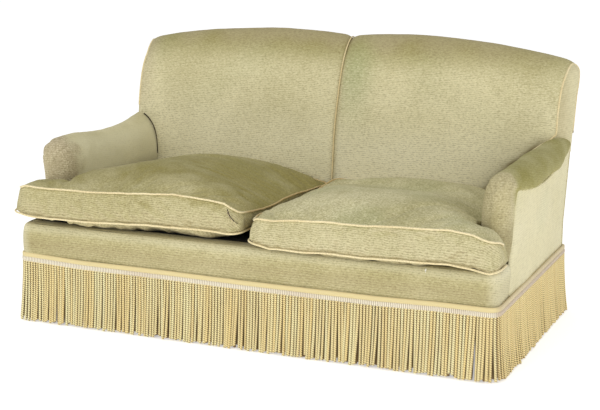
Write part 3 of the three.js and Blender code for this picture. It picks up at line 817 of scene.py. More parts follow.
def arm_ring(side, y, count=96):
    """One section of an arm. Near the front the section draws in, with its own radius on the inside,
    over the roof and outside, so that the front ends in a rounded face."""
    outline = smooth_line(arm_section(y), count)
    rise = float(np.interp(y, ARM_RISE_PLACES, ARM_RISE[side]))
    near = y - ARM_FRONT
    ring = []
    for i, q in enumerate(outline):
        before, after = outline[max(0, i - 1)], outline[min(count - 1, i + 1)]
        along = (after - before).normalized()
        out_x, out_z = -along.y, along.x
        inside, roof, outside = max(0.0, -out_x) ** 2, max(0.0, out_z) ** 2, max(0.0, out_x) ** 2
        radius = 0.052 * inside + 0.060 * roof + 0.036 * outside + 0.02
        short = max(0.0, 1 - near / radius)
        pull = radius * (1 - math.sqrt(max(0.0, 1 - short * short)))
        share = max(0.0, (q.y - DECK) / (ARM_ROOF - DECK))
        x, z = q.x - out_x * pull, q.y + rise * share - out_z * pull * smoothstep(0.0, 0.3, share)
        if i > count // 2 and z < lip_height(y):
            x = min(x, BASE_X - 0.004)
        # the tail leans with the back, so that it ends flush with the outside of it
        back_limit = min(ARM_REAR, rear_plane(z, -0.008))
        place = y if y < 0.20 else 0.20 + (y - 0.20) * (back_limit - 0.20) / (ARM_REAR - 0.20)
        ring.append(Vector((side * x, place, z)))
    return ring


def arm_cover(side, hand, cloth):
    nose_depth = 0.080
    front_steps = [ARM_FRONT + nose_depth * (1 - math.cos(math.pi / 2 * k / 16)) for k in range(17)]
    rest = list(np.linspace(ARM_FRONT + nose_depth, ARM_REAR, 44))[1:]
    rings = [arm_ring(side, y) for y in [*front_steps, *rest]]
    piece = outward(cloth_grid(f"arm_cover_{hand}", rings, closed=True, ends=True))
    remeshed(piece, 0.0054, 8)

    def pleated(p, n):
        x = abs(p.x)
        # gathers fan out over the rounded front, from a point low on its face
        away = Vector((x - 0.800, p.z - 0.520))
        angle = math.atan2(away.y, away.x)
        fan = math.exp(-(((p.y - ARM_FRONT - 0.030) / 0.040) ** 2)) * smoothstep(0.025, 0.06, away.length)
        fan *= smoothstep(-0.4, 0.3, angle) * smoothstep(3.0, 2.2, angle)
        folds = 0.0022 * fan * math.cos(19 * angle + 2.5 * soft_noise(p.x, p.y, p.z, 0.05, 2))
        lumps = 0.0032 * soft_noise(p.x, p.y, p.z, 0.13, 5.0 + side)
        ripple = 0.0010 * soft_noise(p.x, p.y, p.z, 0.03, 9.0 + side)
        keep = smoothstep(DECK, DECK + 0.05, p.z)
        return p + n * (folds + (lumps + ripple) * keep)

    move_points(piece, pleated)
    piece.data.shade_smooth()
    edge, soft = (0.112, 0.042) if side < 0 else (0.075, 0.024)  # how far back the worn front reaches

    def on_nose(p):
        reach = ARM_FRONT + edge + soft * soft_noise(p.x, p.y, p.z, 0.05, 12.0)
        return smoothstep(reach + soft, reach - soft, p.y)

    def worn(p, n):
        return (0.85 if side < 0 else 0.40) * on_nose(p) + 0.10 * smoothstep(0.55, 0.60, p.z) * (side < 0)

    def crushed(p, n):
        roof = smoothstep(0.10, 0.70, n.z) + smoothstep(0.2, 0.9, side * n.x) * smoothstep(0.50, 0.54, p.z)
        roll = min(1.0, roof) * (1 - on_nose(p))
        inside = smoothstep(0.3, 0.9, -side * n.x)
        patchy = (0.14 if side < 0 else 0.24) * soft_noise(p.x, p.y, p.z, 0.07, 2.0 + side)
        grimy = 0.30 * on_nose(p) if side > 0 else 0.0
        level = (0.72 if side > 0 else 0.06) * roll + 0.05 * inside + 0.06 + patchy + grimy
        return max(0.0, min(0.95, level))

    def green(p, n):
        inside = 0.16 * smoothstep(0.2, 0.9, -side * n.x)
        return (inside + 0.14 * (side > 0)) * (1 - on_nose(p))

    def bare(p, n):
        inside = 0.20 + 0.45 * smoothstep(0.4, 0.95, -side * n.x)
        return inside * (side < 0) * (1 - on_nose(p))

    paint(piece, "worn", worn)
    paint(piece, "crushed", crushed)
    paint(piece, "smooth", lambda p, n: (0.90 if side < 0 else 0.35) * (1 - on_nose(p)))
    paint(piece, "green", green)
    paint(piece, "bare", bare)
    # painted shade: darker low down beside the cushion, and on the inside at the rear where the arm meets the
    # back
    paint(piece, "painted_shade", lambda p, n: 0.30 * smoothstep(DECK + 0.14, DECK + 0.09, p.z)
          + 0.40 * smoothstep(0.29, 0.33, p.y) * smoothstep(0.3, 0.9, -side * n.x))
    fit_out(piece, cloth, "velvet", f"inside_arm_cover_{hand}", f"arm_stuffing_{hand}")


def outside_arm(side, hand, cloth):
    """The flat panel outside the arm, its front edge leaning back as it rises."""
    low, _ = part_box(f"outside_arm_panel_{hand}")

    def front(z):
        heights = (low.z, 0.294, 0.403, 0.547, 0.600)
        return float(np.interp(z, heights, (low.y, -0.334, -0.308, -0.266, -0.252)))

    rows = []
    for i in range(49):
        row = []
        for k in range(65):
            share = k / 64
            top = lip_height(front(0.56) + (ARM_REAR - front(0.56)) * share) + 0.003
            z = low.z + (top - low.z) * i / 48
            y = front(z) + (rear_plane(z) - front(z)) * share
            rim = min(y - front(z), rear_plane(z) - y)
            x = BASE_X - 0.002 + 0.004 * (1 - math.exp(-rim / 0.02))
            x -= 0.0055 * smoothstep(0.008, 0.0, y - front(z))
            x += 0.0022 * soft_noise(0, y, z, 0.16, 8.0 + side) * (1 - math.exp(-rim / 0.04))
            row.append((side * x, y, z))
        rows.append(row)
    piece = sheet_cover(facing(cloth_grid(f"outside_arm_cover_{hand}", rows), (side, 0, 0)), OUTER_SHEET)
    paint(piece, "bare", lambda p, n: 0.48 + 0.2 * soft_noise(0, p.y, p.z, 0.12, 2.0))
    paint(piece, "green", lambda p, n: 0.24 * smoothstep(0.1, 0.5, soft_noise(0, p.y, p.z, 0.16, 5.0)))
    fit_out(piece, cloth, "velvet", f"outside_arm_panel_{hand}")


# ------------------------------------------------------------------ the front border
CORNER_RADIUS = {-1: 0.020, 1: 0.036}
CORNER_STEPS = 10
SIDE_STEPS = 14
LONG_STEPS = 90


def base_path(x_out, front, rear):
    """Half-way round the base: from the rear of the left side, round the front, to the rear of the
    right side."""
    left, right = CORNER_RADIUS[-1], CORNER_RADIUS[1]
    path = [Vector((-x_out, rear + (front + left - rear) * k / SIDE_STEPS, 0)) for k in range(SIDE_STEPS)]
    for side, radius in ((-1, left), (1, right)):
        arc = []
        for k in range(CORNER_STEPS + 1):
            angle = math.pi / 2 * k / CORNER_STEPS
            arc.append(Vector((side * (x_out - radius + radius * math.cos(angle)),
                               front + radius - radius * math.sin(angle), 0)))
        path += arc if side < 0 else [*reversed(arc)]
        if side < 0:
            start, end = -(x_out - left), x_out - right
            path += [Vector((start + (end - start) * k / LONG_STEPS, front, 0)) for k in range(1, LONG_STEPS)]
    for k in range(1, SIDE_STEPS + 1):
        path.append(Vector((x_out, front + right + (rear - front - right) * k / SIDE_STEPS, 0)))
    return path


def front_border(cloth):
    _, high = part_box("front_border")
    path = evenly(base_path(BASE_X - 0.001, BASE_FRONT + 0.001, high.y), 240)
    profile = (  # how far out the cover stands at a height, from the trimming up and over on to the deck
        (0.000, 0.215), (0.001, 0.240), (0.003, 0.265), (0.005, 0.290), (0.006, 0.312), (0.004, 0.329),
        (-0.003, 0.340), (-0.014, 0.3448), (-0.034, 0.3450), (-0.060, 0.3430),
    )
    outline = smooth_line([(d, z, 0) for d, z in profile], 30)
    rows = []
    count = len(path)
    for i, p in enumerate(path):
        before, after = path[max(0, i - 1)], path[min(count - 1, i + 1)]
        heading = (after - before).normalized()
        out = Vector((heading.y, -heading.x, 0))
        # the left end stands a little proud of the arm above it
        proud = 0.007 * smoothstep(-0.70, -0.84, p.x)
        row = []
        for q in outline:
            swell = 0.0024 * soft_noise(p.x, p.y, q.y, 0.15, 6.0)
            swell += 0.0008 * soft_noise(p.x, p.y, q.y, 0.04, 3.0)
            inset = max(-0.014, q.x) if q.x < 0 and abs(out.x) > 0.9 else q.x
            row.append(Vector((p.x, p.y, q.y)) + out * (inset + swell + proud * smoothstep(0.335, 0.25, q.y)))
        rows.append(row)
    piece = sheet_cover(facing(cloth_grid("front_border_cover", rows), (0, -1, 0)), 0.0035)
    paint(piece, "crushed", lambda p, n: 0.43 + 0.20 * soft_noise(p.x, p.y, p.z, 0.2, 1.0)
          + 0.20 * bump(0.275, 0.04, p.z))
    paint(piece, "bare", lambda p, n: 0.42 * smoothstep(0.305, 0.335, p.z)
          + 0.5 * smoothstep(0.8, 0.84, abs(p.x)))
    paint(piece, "worn", lambda p, n: 0.30 * bump(0.27, 0.05, p.z) + 0.12)
    paint(piece, "green", lambda p, n: 0.14 * smoothstep(0.31, 0.335, p.z))
    # painted shade: darker along the top, where the border runs in under the cushions
    paint(piece, "painted_shade", lambda p, n: 0.40 * smoothstep(0.339, 0.3450, p.z))
    fit_out(piece, cloth, "velvet", "front_border")


# ------------------------------------------------------------------ the loose seat cushions
SEAM_LOW = DECK + 0.036
SEAM_HIGH = DECK + 0.134
SEAM_BEHIND = {-1: (0.376, 0.426), 1: (0.372, 0.410)}  # heights of both seams at the rear
# heights of the lower and upper seams along each front, which have slumped differently
FRONT_SEAMS = {
    -1: (((-0.86, 0.392), (-0.79, 0.380), (-0.63, 0.380), (-0.49, 0.386), (-0.33, 0.393), (-0.14, 0.396),
          (-0.02, 0.390)),
         ((-0.86, 0.468), (-0.81, 0.483), (-0.67, 0.482), (-0.51, 0.487), (-0.33, 0.497), (-0.24, 0.504),
          (-0.14, 0.498), (-0.055, 0.489), (-0.030, 0.472), (-0.012, 0.455))),
    1: (((0.01, 0.372), (0.10, 0.357), (0.21, 0.359), (0.37, 0.362), (0.52, 0.366), (0.70, 0.370),
         (0.79, 0.359), (0.825, 0.352), (0.86, 0.362)),
        ((0.02, 0.440), (0.05, 0.449), (0.12, 0.448), (0.20, 0.459), (0.37, 0.462), (0.52, 0.470),
         (0.70, 0.476), (0.78, 0.466), (0.83, 0.450), (0.86, 0.444))),
}
PRESSURE = {-1: 4.8, 1: 3.3}  # of each cushion's filling
FILLING_FRAMES = 22


def rounded(corners, steps=7):
    """A closed outline with each corner (x, y, radius) rounded."""
    line = []
    count = len(corners)
    for i, (x, y, radius) in enumerate(corners):
        corner = Vector((x, y))
        a = (Vector(corners[i - 1][:2]) - corner).normalized()
        b = (Vector(corners[(i + 1) % count][:2]) - corner).normalized()
        start, end = corner + a * radius, corner + b * radius
        for k in range(steps + 1):
            t = k / steps
            line.append((1 - t) ** 2 * start + 2 * t * (1 - t) * corner + t * t * end)
    return line


def cushion_outline(side, count):
    """The seam line seen from above: a T with an ear in front of the arm, its corners pulled in."""
    inner = 0.015 if side < 0 else 0.018
    arm = 0.728
    corners = [
        (inner, CUSHION_FRONT + 0.014, 0.045), (0.40, CUSHION_FRONT + 0.006, 0.20),
        (0.852, CUSHION_FRONT + 0.014, 0.045), (0.850, ARM_FRONT - 0.014, 0.030),
        (arm, ARM_FRONT - 0.006, 0.014), (arm, CUSHION_BACK - 0.008, 0.045),
        (inner, CUSHION_BACK - 0.006, 0.045), (inner - 0.008, -0.20, 0.20),
    ]
    return evenly([Vector((side * p.x, p.y, 0)) for p in rounded(corners)], count, closed=True)


def slumped(side, p):
    """Where a point of the evenly stuffed cushion has come to rest: its seams no longer run level."""
    share = (p.z - SEAM_LOW) / (SEAM_HIGH - SEAM_LOW)
    frontal = smoothstep(0.05, -0.45, p.y)
    heights = []
    for stations, behind in zip(FRONT_SEAMS[side], SEAM_BEHIND[side]):
        ahead = float(np.interp(p.x, [q[0] for q in stations], [q[1] for q in stations]))
        heights.append(behind + (ahead - behind) * frontal)
    wave = 0.0035 * soft_noise(p.x, p.y, 0, 0.12, 2.0 + side)
    wave += 0.0012 * soft_noise(p.x, p.y, 0, 0.035, 5.0 + side)
    deepest, reach = (0.016, 0.22) if side < 0 else (0.006, 0.3)
    sag = deepest * bump(0.0, 0.14, p.x) * bump(-0.30, reach, p.y)
    z = heights[0] + (heights[1] - heights[0]) * share + wave - sag * share
    drawn = 0.024 * bump(0.0, 0.09, p.x) * bump(-0.52, 0.14, p.y) * share * (side > 0)
    ear = smoothstep(0.70, 0.86, abs(p.x)) * smoothstep(-0.30, -0.40, p.y)
    lean = (0.012 * share - (0.010 * (1 - share) if side < 0 else 0)) * ear
    if side > 0:
        z -= 0.024 * share * smoothstep(0.80, 0.85, p.x) * smoothstep(-0.50, -0.40, p.y)
    # at the rear the left cushion's inner corner lies lower than its neighbour's
    z += (0.012 if side > 0 else -0.024) * share * bump(0.0, 0.20, p.x) * smoothstep(-0.05, 0.28, p.y)
    return Vector((p.x + drawn - side * lean, p.y + 0.004 * share, z))


def seam_line(side, height, count=360):
    return [slumped(side, Vector((p.x, p.y, height))) for p in cushion_outline(side, count)]


def inflate(piece, pinned, pressure):
    """Fills the case: cloth held at its seams swells under pressure and wrinkles where it is slack."""
    group = piece.vertex_groups.new(name="seams")
    group.add(pinned, 1.0, "REPLACE")
    cloth = piece.modifiers.new("cloth", "CLOTH")
    s = cloth.settings
    s.quality = 4
    s.mass = 0.3
    s.tension_stiffness = 8
    s.compression_stiffness = 8
    s.shear_stiffness = 4
    s.bending_stiffness = 0.3
    s.air_damping = 4
    s.use_pressure = True
    s.uniform_pressure_force = pressure
    s.shrink_min = -0.045
    s.effector_weights.gravity = 0.0
    s.vertex_group_mass = "seams"
    cloth.collision_settings.use_collision = False
    cloth.point_cache.frame_start = 1
    cloth.point_cache.frame_end = FILLING_FRAMES
    scene = bpy.context.scene
    for number in range(1, FILLING_FRAMES + 1):
        scene.frame_set(number)
    apply_modifiers(piece)
    scene.frame_set(1)
    piece.vertex_groups.clear()


def seat_cushion(side, hand, cloth, cord):
    count = 360
    flat = cushion_outline(side, count)
    flat_seams = [[Vector((p.x, p.y, z)) for p in flat] for z in (SEAM_LOW, SEAM_HIGH)]
    piece = outward(cloth_grid(f"seat_cushion_cover_{hand}", flat_seams, closed=True, ends=True))
    remeshed(piece, 0.0086)
    move_points(piece, lambda p, n: slumped(side, p))
    lower, upper = seam_line(side, SEAM_LOW), seam_line(side, SEAM_HIGH)
    tree = kdtree.KDTree(2 * count)
    for i, p in enumerate([*lower, *upper]):
        tree.insert(p, i)
    tree.balance()
    pinned = [v.index for v in piece.data.vertices if tree.find(v.co)[2] < 0.0066]

    inflate(piece, pinned, PRESSURE[side])
    finer = piece.modifiers.new("subdivide", "SUBSURF")
    finer.levels = finer.render_levels = 1
    apply_modifiers(piece)

    def rested(p, n):
        x, y, z = side * p.x, p.y, p.z
        # slanting folds where the filling has worked away from the front
        slack = smoothstep(-0.22, -0.42, y) * (1.0 if side < 0 else 0.45)
        slack *= smoothstep(0.012, 0.03, tree.find(p)[2])
        slant = p.x + 1.6 * z + 0.6 * y
        fold = soft_noise(0.25 * (p.x - 1.6 * z - 0.6 * y), 0.25 * y, slant, 0.045, 3.0 + side)
        crease = soft_noise(p.x, y, z, 0.035, 6.0 + side)
        shift = slack * (0.0034 * fold + 0.0012 * crease) + 0.0012 * soft_noise(p.x, y, z, 0.06, 9.0)
        moved = p + n * shift
        x, y, z = side * moved.x, moved.y, moved.z
        floor = DECK + 0.001
        if z < floor:
            z = floor - 0.02 * math.tanh((floor - z) / 0.3)
        if side < 0 and n.z < 0.2:  # its underside sags over the edge of the seat, with one dent
            hang = bump(-0.500, 0.030, y) * smoothstep(0.382, 0.366, z)
            hang *= smoothstep(0.80, 0.66, x) * (1 - 0.9 * math.exp(-(((x - 0.370) / 0.010) ** 2)))
            z -= 0.012 * hang
        if y > ARM_FRONT:
            x = min(x, ARM_INSIDE)
        return Vector((side * x, min(y, BACK_FRONT + 0.012), z))

    move_points(piece, rested)
    piece.data.shade_smooth()

    def crushed(p, n):
        top = smoothstep(0.15, 0.7, n.z)
        if side < 0:
            level = 0.88 + 0.12 * smoothstep(-0.50, -0.10, p.x) - 0.36 * smoothstep(-0.32, -0.50, p.y)
        else:
            level = 0.20 + 0.12 * smoothstep(-0.05, 0.20, p.y)
            level -= 0.14 * bump(0.20, 0.25, p.x) * smoothstep(0.0, -0.3, p.y)
        level += 0.36 * soft_noise(p.x, p.y, 0, 0.16, 3.0) + 0.20 * soft_noise(p.x, p.y, 0, 0.05, 8.0)
        beside = (0.50 if side < 0 else 0.40) * (1 - top)
        return min(0.98, max(0.0, level)) * top + beside

    def green(p, n):
        patch = smoothstep(-0.2, 0.5, soft_noise(p.x, p.y, 0, 0.2, 1.5))
        return (0.12 if side < 0 else 0.46) * smoothstep(0.2, 0.8, n.z) * (0.4 + 0.6 * patch)

    paint(piece, "crushed", crushed)
    paint(piece, "green", green)
    paint(piece, "bare", lambda p, n: (0.12 if side < 0 else 0.34) * smoothstep(0.5, 0.1, abs(n.z))
          * smoothstep(-0.40, -0.48, p.y) * (0.6 + 0.6 * smoothstep(-0.45, -0.15, p.x) * (side < 0)))
    paint(piece, "worn", lambda p, n: 0.35 * smoothstep(0.2, -0.4, n.z) + 0.12)
    # painted shade: darker where the cushion rests on the deck, and on its sides and underside back from the
    # front
    paint(piece, "painted_shade", lambda p, n: 0.5 * smoothstep(DECK + 0.012, DECK, p.z)
          + 0.35 * smoothstep(-0.44, -0.30, p.y) * smoothstep(0.6, 0.2, n.z))
    fit_out(piece, cloth, "cushion_velvet", f"seat_cushion_{hand}")
    cords = []
    for place, line in (("low", lower), ("high", upper)):
        placed = []
        for i, p in enumerate(line):
            heading = (line[(i + 1) % count] - line[i - 1]).normalized()
            out = side * Vector((heading.y, -heading.x, 0)).normalized()
            # it tucks in under the arm's front
            tucked = smoothstep(0.70, 0.72, abs(p.x)) * smoothstep(-0.42, -0.385, p.y)
            placed.append(p + out * (0.0018 - 0.010 * tucked) - Vector((0, 0, 0.010 * tucked)))
        cords.append(tube(f"piping_{place}_{hand}", placed, PIPING_RADIUS, 8, closed=True))
    piping = joined(f"cushion_piping_{hand}", cords)
    paint(piping, "gilt", lambda p, n: 0.75 * smoothstep(0.12, 0.03, abs(p.x))
          * smoothstep(-0.47, -0.40, p.y))
    fit_out(piping, cord, "piping")


# ------------------------------------------------------------------ wear that stands out
def burst_corner(dark, cord):
    """The left cushion's inner front corner has split beside its seam: a dark slit with loose threads."""
    route = smooth_line([(-0.040, -0.5125, 0.474), (-0.037, -0.5150, 0.462), (-0.030, -0.5155, 0.449),
                         (-0.018, -0.5110, 0.436), (-0.008, -0.5030, 0.428)], 26)
    rows = []
    for i, p in enumerate(route):
        share = i / (len(route) - 1)
        half = 0.0030 * math.sin(math.pi * min(1.0, share + 0.12)) ** 0.8 + 0.0003
        along = (route[min(i + 1, 25)] - route[max(i - 1, 0)]).normalized()
        across = along.cross(Vector((0, -1, 0))).normalized()
        row = []
        for c in (-1, -0.5, 0, 0.5, 1):
            row.append(p + across * (half * c) + Vector((0, 0.0022 * (c * c) - 0.0016, 0)))
        rows.append(row)
    # painted shade: the slit is a near-black sheet standing for the shade inside the split
    slit = sheet_cover(facing(cloth_grid("split_corner", rows), (0, -1, 0)), 0.001)
    fit_out(slit, dark, "lining")
    threads = []
    rng = np.random.default_rng(5)
    for k in range(9):
        start = route[2 + 2 * k] + Vector((0.002 * (-1) ** k, -0.001, 0))
        swing = Vector(rng.normal(0, 0.006, 3)) + Vector((0.004, -0.004, -0.006))
        end = start + swing + Vector((0.003, 0, -0.003))
        threads.append(tube(f"thread_{k}", smooth_line([start, start + 0.5 * swing, end], 7), 0.0006, 5))
    loose = joined("loose_threads", threads)
    paint(loose, "gilt", lambda p, n: 0.1)
    fit_out(loose, cord, "piping")


def white_tuft(material):
    """A tuft of filling that has worked out under the right cushion."""
    rng = np.random.default_rng(8)
    place = Vector((0.617, -0.4800, 0.3400))
    wisps = []
    for k in range(7):
        aim = Vector((float(rng.normal(0, 0.0016)), -0.003, float(rng.normal(0.0, 0.0050))))
        curl = Vector(rng.normal(0, 0.0008, 3))
        line = smooth_line([place, place + 0.6 * aim + curl, place + aim], 6)
        wisps.append(tube(f"wisp_{k}", line, 0.0007, 5))
    tuft = joined("white_tuft", wisps)
    fit_out(tuft, material, "piping")


# ------------------------------------------------------------------ piping on the back
def back_piping(cord):
    section = [back_point(seam_x(q.y), q) for q in back_rows(170)]
    centre = [p + Vector((0, -0.0010, 0)) for p in section if p.y < 0.50 or p.z > 0.85]
    pieces = [tube("centre_piping", evenly(centre, 150), 0.8 * PIPING_RADIUS, 8)]
    for side, hand in SIDES:
        front, rear = back_end_lines(side, 90, ELBOW)
        turn = []
        if side > 0:  # from the elbow the piping turns in and runs down where the arm meets the back
            turn = [Vector((x, back_front(z) - 0.0085, z)) for x, z in
                    ((0.733, 0.572), (0.749, 0.585), (0.769, 0.599), (0.793, 0.614))]
        line = [*turn, *front, *reversed(rear)]
        pieces.append(tube(f"end_piping_{hand}", evenly(line, 200), PIPING_RADIUS, 8))
    piping = joined("back_piping", pieces)
    paint(piping, "gilt", lambda p, n: 0.22 * (abs(p.x) < 0.1) + 0.06)
    fit_out(piping, cord, "piping")


def crease_shadow_lines(dark):
    """Dark tubes of painted shadow along the crease where each arm's cover is tucked in against the back."""
    creases = []
    for side, hand in SIDES:
        ring = arm_ring(side, 0.33, 160)
        inside = [p for p in ring[:110] if 0.45 < p.z and abs(p.x) < (0.800 if side < 0 else 0.775)]
        line = [Vector((p.x - side * 0.0010, back_front(p.z) - 0.0065, p.z + 0.0012)) for p in inside]
        creases.append(tube(f"crease_{hand}", evenly(line, 60), 0.0021, 6))
    fit_out(joined("crease_shadow_lines", creases), dark, "lining")


# ------------------------------------------------------------------ the fringe
HEADING_DEPTH = 0.031
GOLD_DEPTH = 0.0145
FRINGE_ROUND = 4.99  # length round the base that the cords are counted from
CORD_RADIUS = 0.0052
UNIT_LENGTH = 0.2  # length of a cord whose reach is 1
CORD_LAYERS = (  # name, how far in the cords hang, how far apart, and the seed of their unevenness
    ("outer", 0.0, 0.0104, 11),
    ("inner", 0.0085, 0.0092, 23),
)


def trimming_lift(p):
    """The trimming was sewn on by eye: it sags a little along the front."""
    height = float(np.interp(p.x, (-0.85, -0.75, -0.60, -0.25, 0.00, 0.45, 0.65, 0.85),
                             (0.005, 0.002, -0.0033, -0.0035, -0.006, -0.006, 0.0, 0.0)))
    return height * smoothstep(0.30, -0.30, p.y)


def whole_perimeter(grow=0.0):
    """Once round the base at the trimming, starting behind on the left."""
    x_out, front, rear = FRINGE_X + grow, FRINGE_FRONT - grow, BASE_BACK + grow
    half = base_path(x_out, front, rear)
    return half + [Vector((x_out - 2 * x_out * k / LONG_STEPS, rear, 0)) for k in range(1, LONG_STEPS)]


def heading(material):
    """The woven heading sewn round the base above the cords."""
    path = evenly(whole_perimeter(-0.001), 640, closed=True)
    top, foot = TRIM_TOP, TRIM_TOP - HEADING_DEPTH
    split = top - GOLD_DEPTH
    profile = (  # how far out, and how high
        (-0.007, top), (-0.0015, top + 0.0006), (0.0006, top - 0.0020), (0.0008, split + 0.0012),
        (-0.0004, split), (0.0012, split - 0.0014), (0.0020, split - 0.0050), (0.0020, foot + 0.0050),
        (0.0010, foot + 0.0015), (-0.0010, foot), (-0.007, foot),
    )
    rows = []
    count = len(path)
    for i, p in enumerate(path):
        along = (path[(i + 1) % count] - path[i - 1]).normalized()
        out = Vector((along.y, -along.x, 0))
        wave = 0.0014 * soft_noise(p.x, p.y, 0, 0.3, 2.2) + trimming_lift(p)
        rows.append([Vector((p.x, p.y, z + wave)) + out * d for d, z in profile])
    rows.append(rows[0])
    piece = cloth_grid("woven_heading", rows, closed=True)
    for loop in piece.data.uv_layers["cloth"].data:
        loop.uv = (loop.uv[1], loop.uv[0])  # the material wants (around, up)

    def below_split(p, n):
        return 1.0 - smoothstep(split - 0.0008, split + 0.0008, p.z - trimming_lift(p))

    paint(piece, "ribbed_band", below_split)
    paint(piece, "faded", lambda p, n: smoothstep(0.835, 0.848, p.x))
    outward(piece)
    fit_out(piece, material, "bullion_yarn")


class Tree(Nodes):
    """A geometry node tree with named sizes."""

    def __init__(self, name, sizes):
        super().__init__(bpy.data.node_groups.new(name, "GeometryNodeTree"))
        socket = self.tree.interface.new_socket
        socket("Geometry", in_out="INPUT", socket_type="NodeSocketGeometry")
        self.sockets = {}
        for label, kind, value in sizes:
            made = socket(label, in_out="INPUT", socket_type=kind)
            made.default_value = value
            self.sockets[label] = made.identifier
        socket("Geometry", in_out="OUTPUT", socket_type="NodeSocketGeometry")
        self.given = self.tree.nodes.new("NodeGroupInput").outputs

    def scaled(self, vector, amount):
        scale = {"operation": "SCALE"}
        return self.node("ShaderNodeVectorMath", scale, Vector=vector, Scale=amount)["Vector"]

    def attribute(self, name, kind="FLOAT"):
        return self.node("GeometryNodeInputNamedAttribute", {"data_type": kind}, Name=name)["Attribute"]

    def stored(self, geometry, name, value):
        return self.node("GeometryNodeStoreNamedAttribute", {"data_type": "FLOAT"},
                         Geometry=geometry, Name=name, Value=value)["Geometry"]

    def apply_to(self, piece, **sizes):
        modifier = piece.modifiers.new(self.tree.name, "NODES")
        modifier.node_group = self.tree
        for label, value in sizes.items():
            modifier[self.sockets[label]] = value
        return apply_modifiers(piece)


def hung_cords(material):
    """Geometry nodes: one cord hung at each point, leaning and wavering as the point's attributes say."""
    t = Tree("hang_cords", (
        ("Thickness", "NodeSocketFloat", 0.005), ("Length", "NodeSocketFloat", 0.2),
        ("Sides", "NodeSocketInt", 6), ("Segments", "NodeSocketInt", 7),
        ("Waver", "NodeSocketFloat", 0.0035), ("Seed", "NodeSocketInt", 4),
    ))
    # one straight cord of unit length and radius, hanging down from the origin
    line = t.node("GeometryNodeCurvePrimitiveLine", End=(0, 0, -1))["Curve"]
    levels = t.sums("ADD", t.given["Segments"], 1)
    line = t.node("GeometryNodeResampleCurve", Curve=line, Count=levels)["Curve"]
    line = t.stored(line, "down", t.node("GeometryNodeSplineParameter")["Factor"])
    ring = t.node("GeometryNodeCurvePrimitiveCircle", Resolution=t.given["Sides"], Radius=1.0)["Curve"]
    ring = t.stored(ring, "turn", t.node("GeometryNodeSplineParameter")["Factor"])
    cord = t.node("GeometryNodeCurveToMesh", Curve=line, Profile_Curve=ring, Fill_Caps=True)["Mesh"]
    across = t.sums("MULTIPLY", t.given["Thickness"], t.attribute("fatness"))
    down = t.sums("MULTIPLY", t.given["Length"], t.attribute("reach"))
    size = t.node("ShaderNodeCombineXYZ", X=across, Y=across, Z=down)["Vector"]
    hung = t.node("GeometryNodeInstanceOnPoints", Points=t.given["Geometry"], Instance=cord,
                  Scale=size)["Instances"]
    hung = t.node("GeometryNodeRealizeInstances", Geometry=hung)["Geometry"]
    # the further down, the further a cord leans, and the more it wavers in its own way
    lean = t.scaled(t.attribute("lean", "FLOAT_VECTOR"), t.sums("POWER", t.attribute("down"), 1.5))
    own = t.sums("ADD", t.sums("MULTIPLY", t.attribute("own"), 40.0), t.given["Seed"])
    sway = t.node("ShaderNodeTexNoise", {"noise_dimensions": "4D"}, W=own, Scale=8.0, Detail=1.0,
                  Vector=t.node("GeometryNodeInputPosition")["Position"])["Color"]
    sway = t.vector("MULTIPLY", t.vector("SUBTRACT", sway, (0.5, 0.5, 0.5)), (4.0, 4.0, 0.0))
    sway = t.scaled(sway, t.sums("MULTIPLY", t.given["Waver"], t.attribute("down")))
    moved = t.node("GeometryNodeSetPosition", Geometry=hung, Offset=t.vector("ADD", lean, sway))["Geometry"]
    smooth = t.node("GeometryNodeSetShadeSmooth", Geometry=moved)["Geometry"]
    finished = t.node("GeometryNodeSetMaterial", Geometry=smooth, Material=material)["Geometry"]
    t.node("NodeGroupOutput", Geometry=finished)
    return t


PARTINGS = (  # where the front cords have parted or tangled: place along x, half width, how hard
    (-0.022, 0.014, 0.55), (0.345, 0.018, -0.45), (0.400, 0.012, 0.40), (0.468, 0.012, 0.70),
    (0.775, 0.016, 0.45),
)


def cord_points(layer_depth, pitch, seed):
    """Where each cord of one layer of the fringe hangs, and how, for each run of the base."""
    foot = TRIM_TOP - HEADING_DEPTH + 0.001
    spots = evenly(whole_perimeter(-0.004 - layer_depth), int(FRINGE_ROUND / pitch), closed=True)
    runs = {"front": [], "right": [], "back": [], "left": []}
    rng = np.random.default_rng(seed)
    count = len(spots)
    for i, p in enumerate(spots):
        along = (spots[(i + 1) % count] - spots[i - 1]).normalized()
        out = Vector((along.y, -along.x, 0))
        place = i * pitch
        drift = 0.0014 * soft_noise(place, 0, 0, 0.16, 3.0)
        drift += 0.0010 * soft_noise(place, 0, 0, 0.05, 5.0 + seed)
        tangle = 0.005 * soft_noise(place, 0, 0, 0.035, 7.0) * (abs(out.x) > 0.7)
        drift += float(rng.normal(0, 0.0018)) + tangle
        outwards = 0.016 + 0.004 * soft_noise(place, 0, 0, 0.12, 9.0)
        outwards += float(rng.normal(0, 0.0018))
        outwards -= layer_depth
        top = foot + trimming_lift(p)
        if abs(out.y + 1) < 0.2 and layer_depth == 0:
            for x, half, force in PARTINGS:
                gap = (p.x - x) / half
                if abs(gap) < 2.6:
                    drift += force * 0.011 * math.copysign(1, gap) * math.exp(-((gap / 1.4) ** 2))
        bottom = 0.0025 + abs(float(rng.normal(0, 0.0055)))
        spot = {"co": Vector((p.x, p.y, top)), "lean": along * drift + out * outwards,
                "reach": (top - bottom) / UNIT_LENGTH, "fatness": 1.0 + float(rng.normal(0, 0.07)),
                "own": float(rng.random())}
        run = ("front" if out.y < 0 else "back") if abs(out.y) > 0.7 else ("right" if out.x > 0 else "left")
        runs[run].append(spot)
    return runs


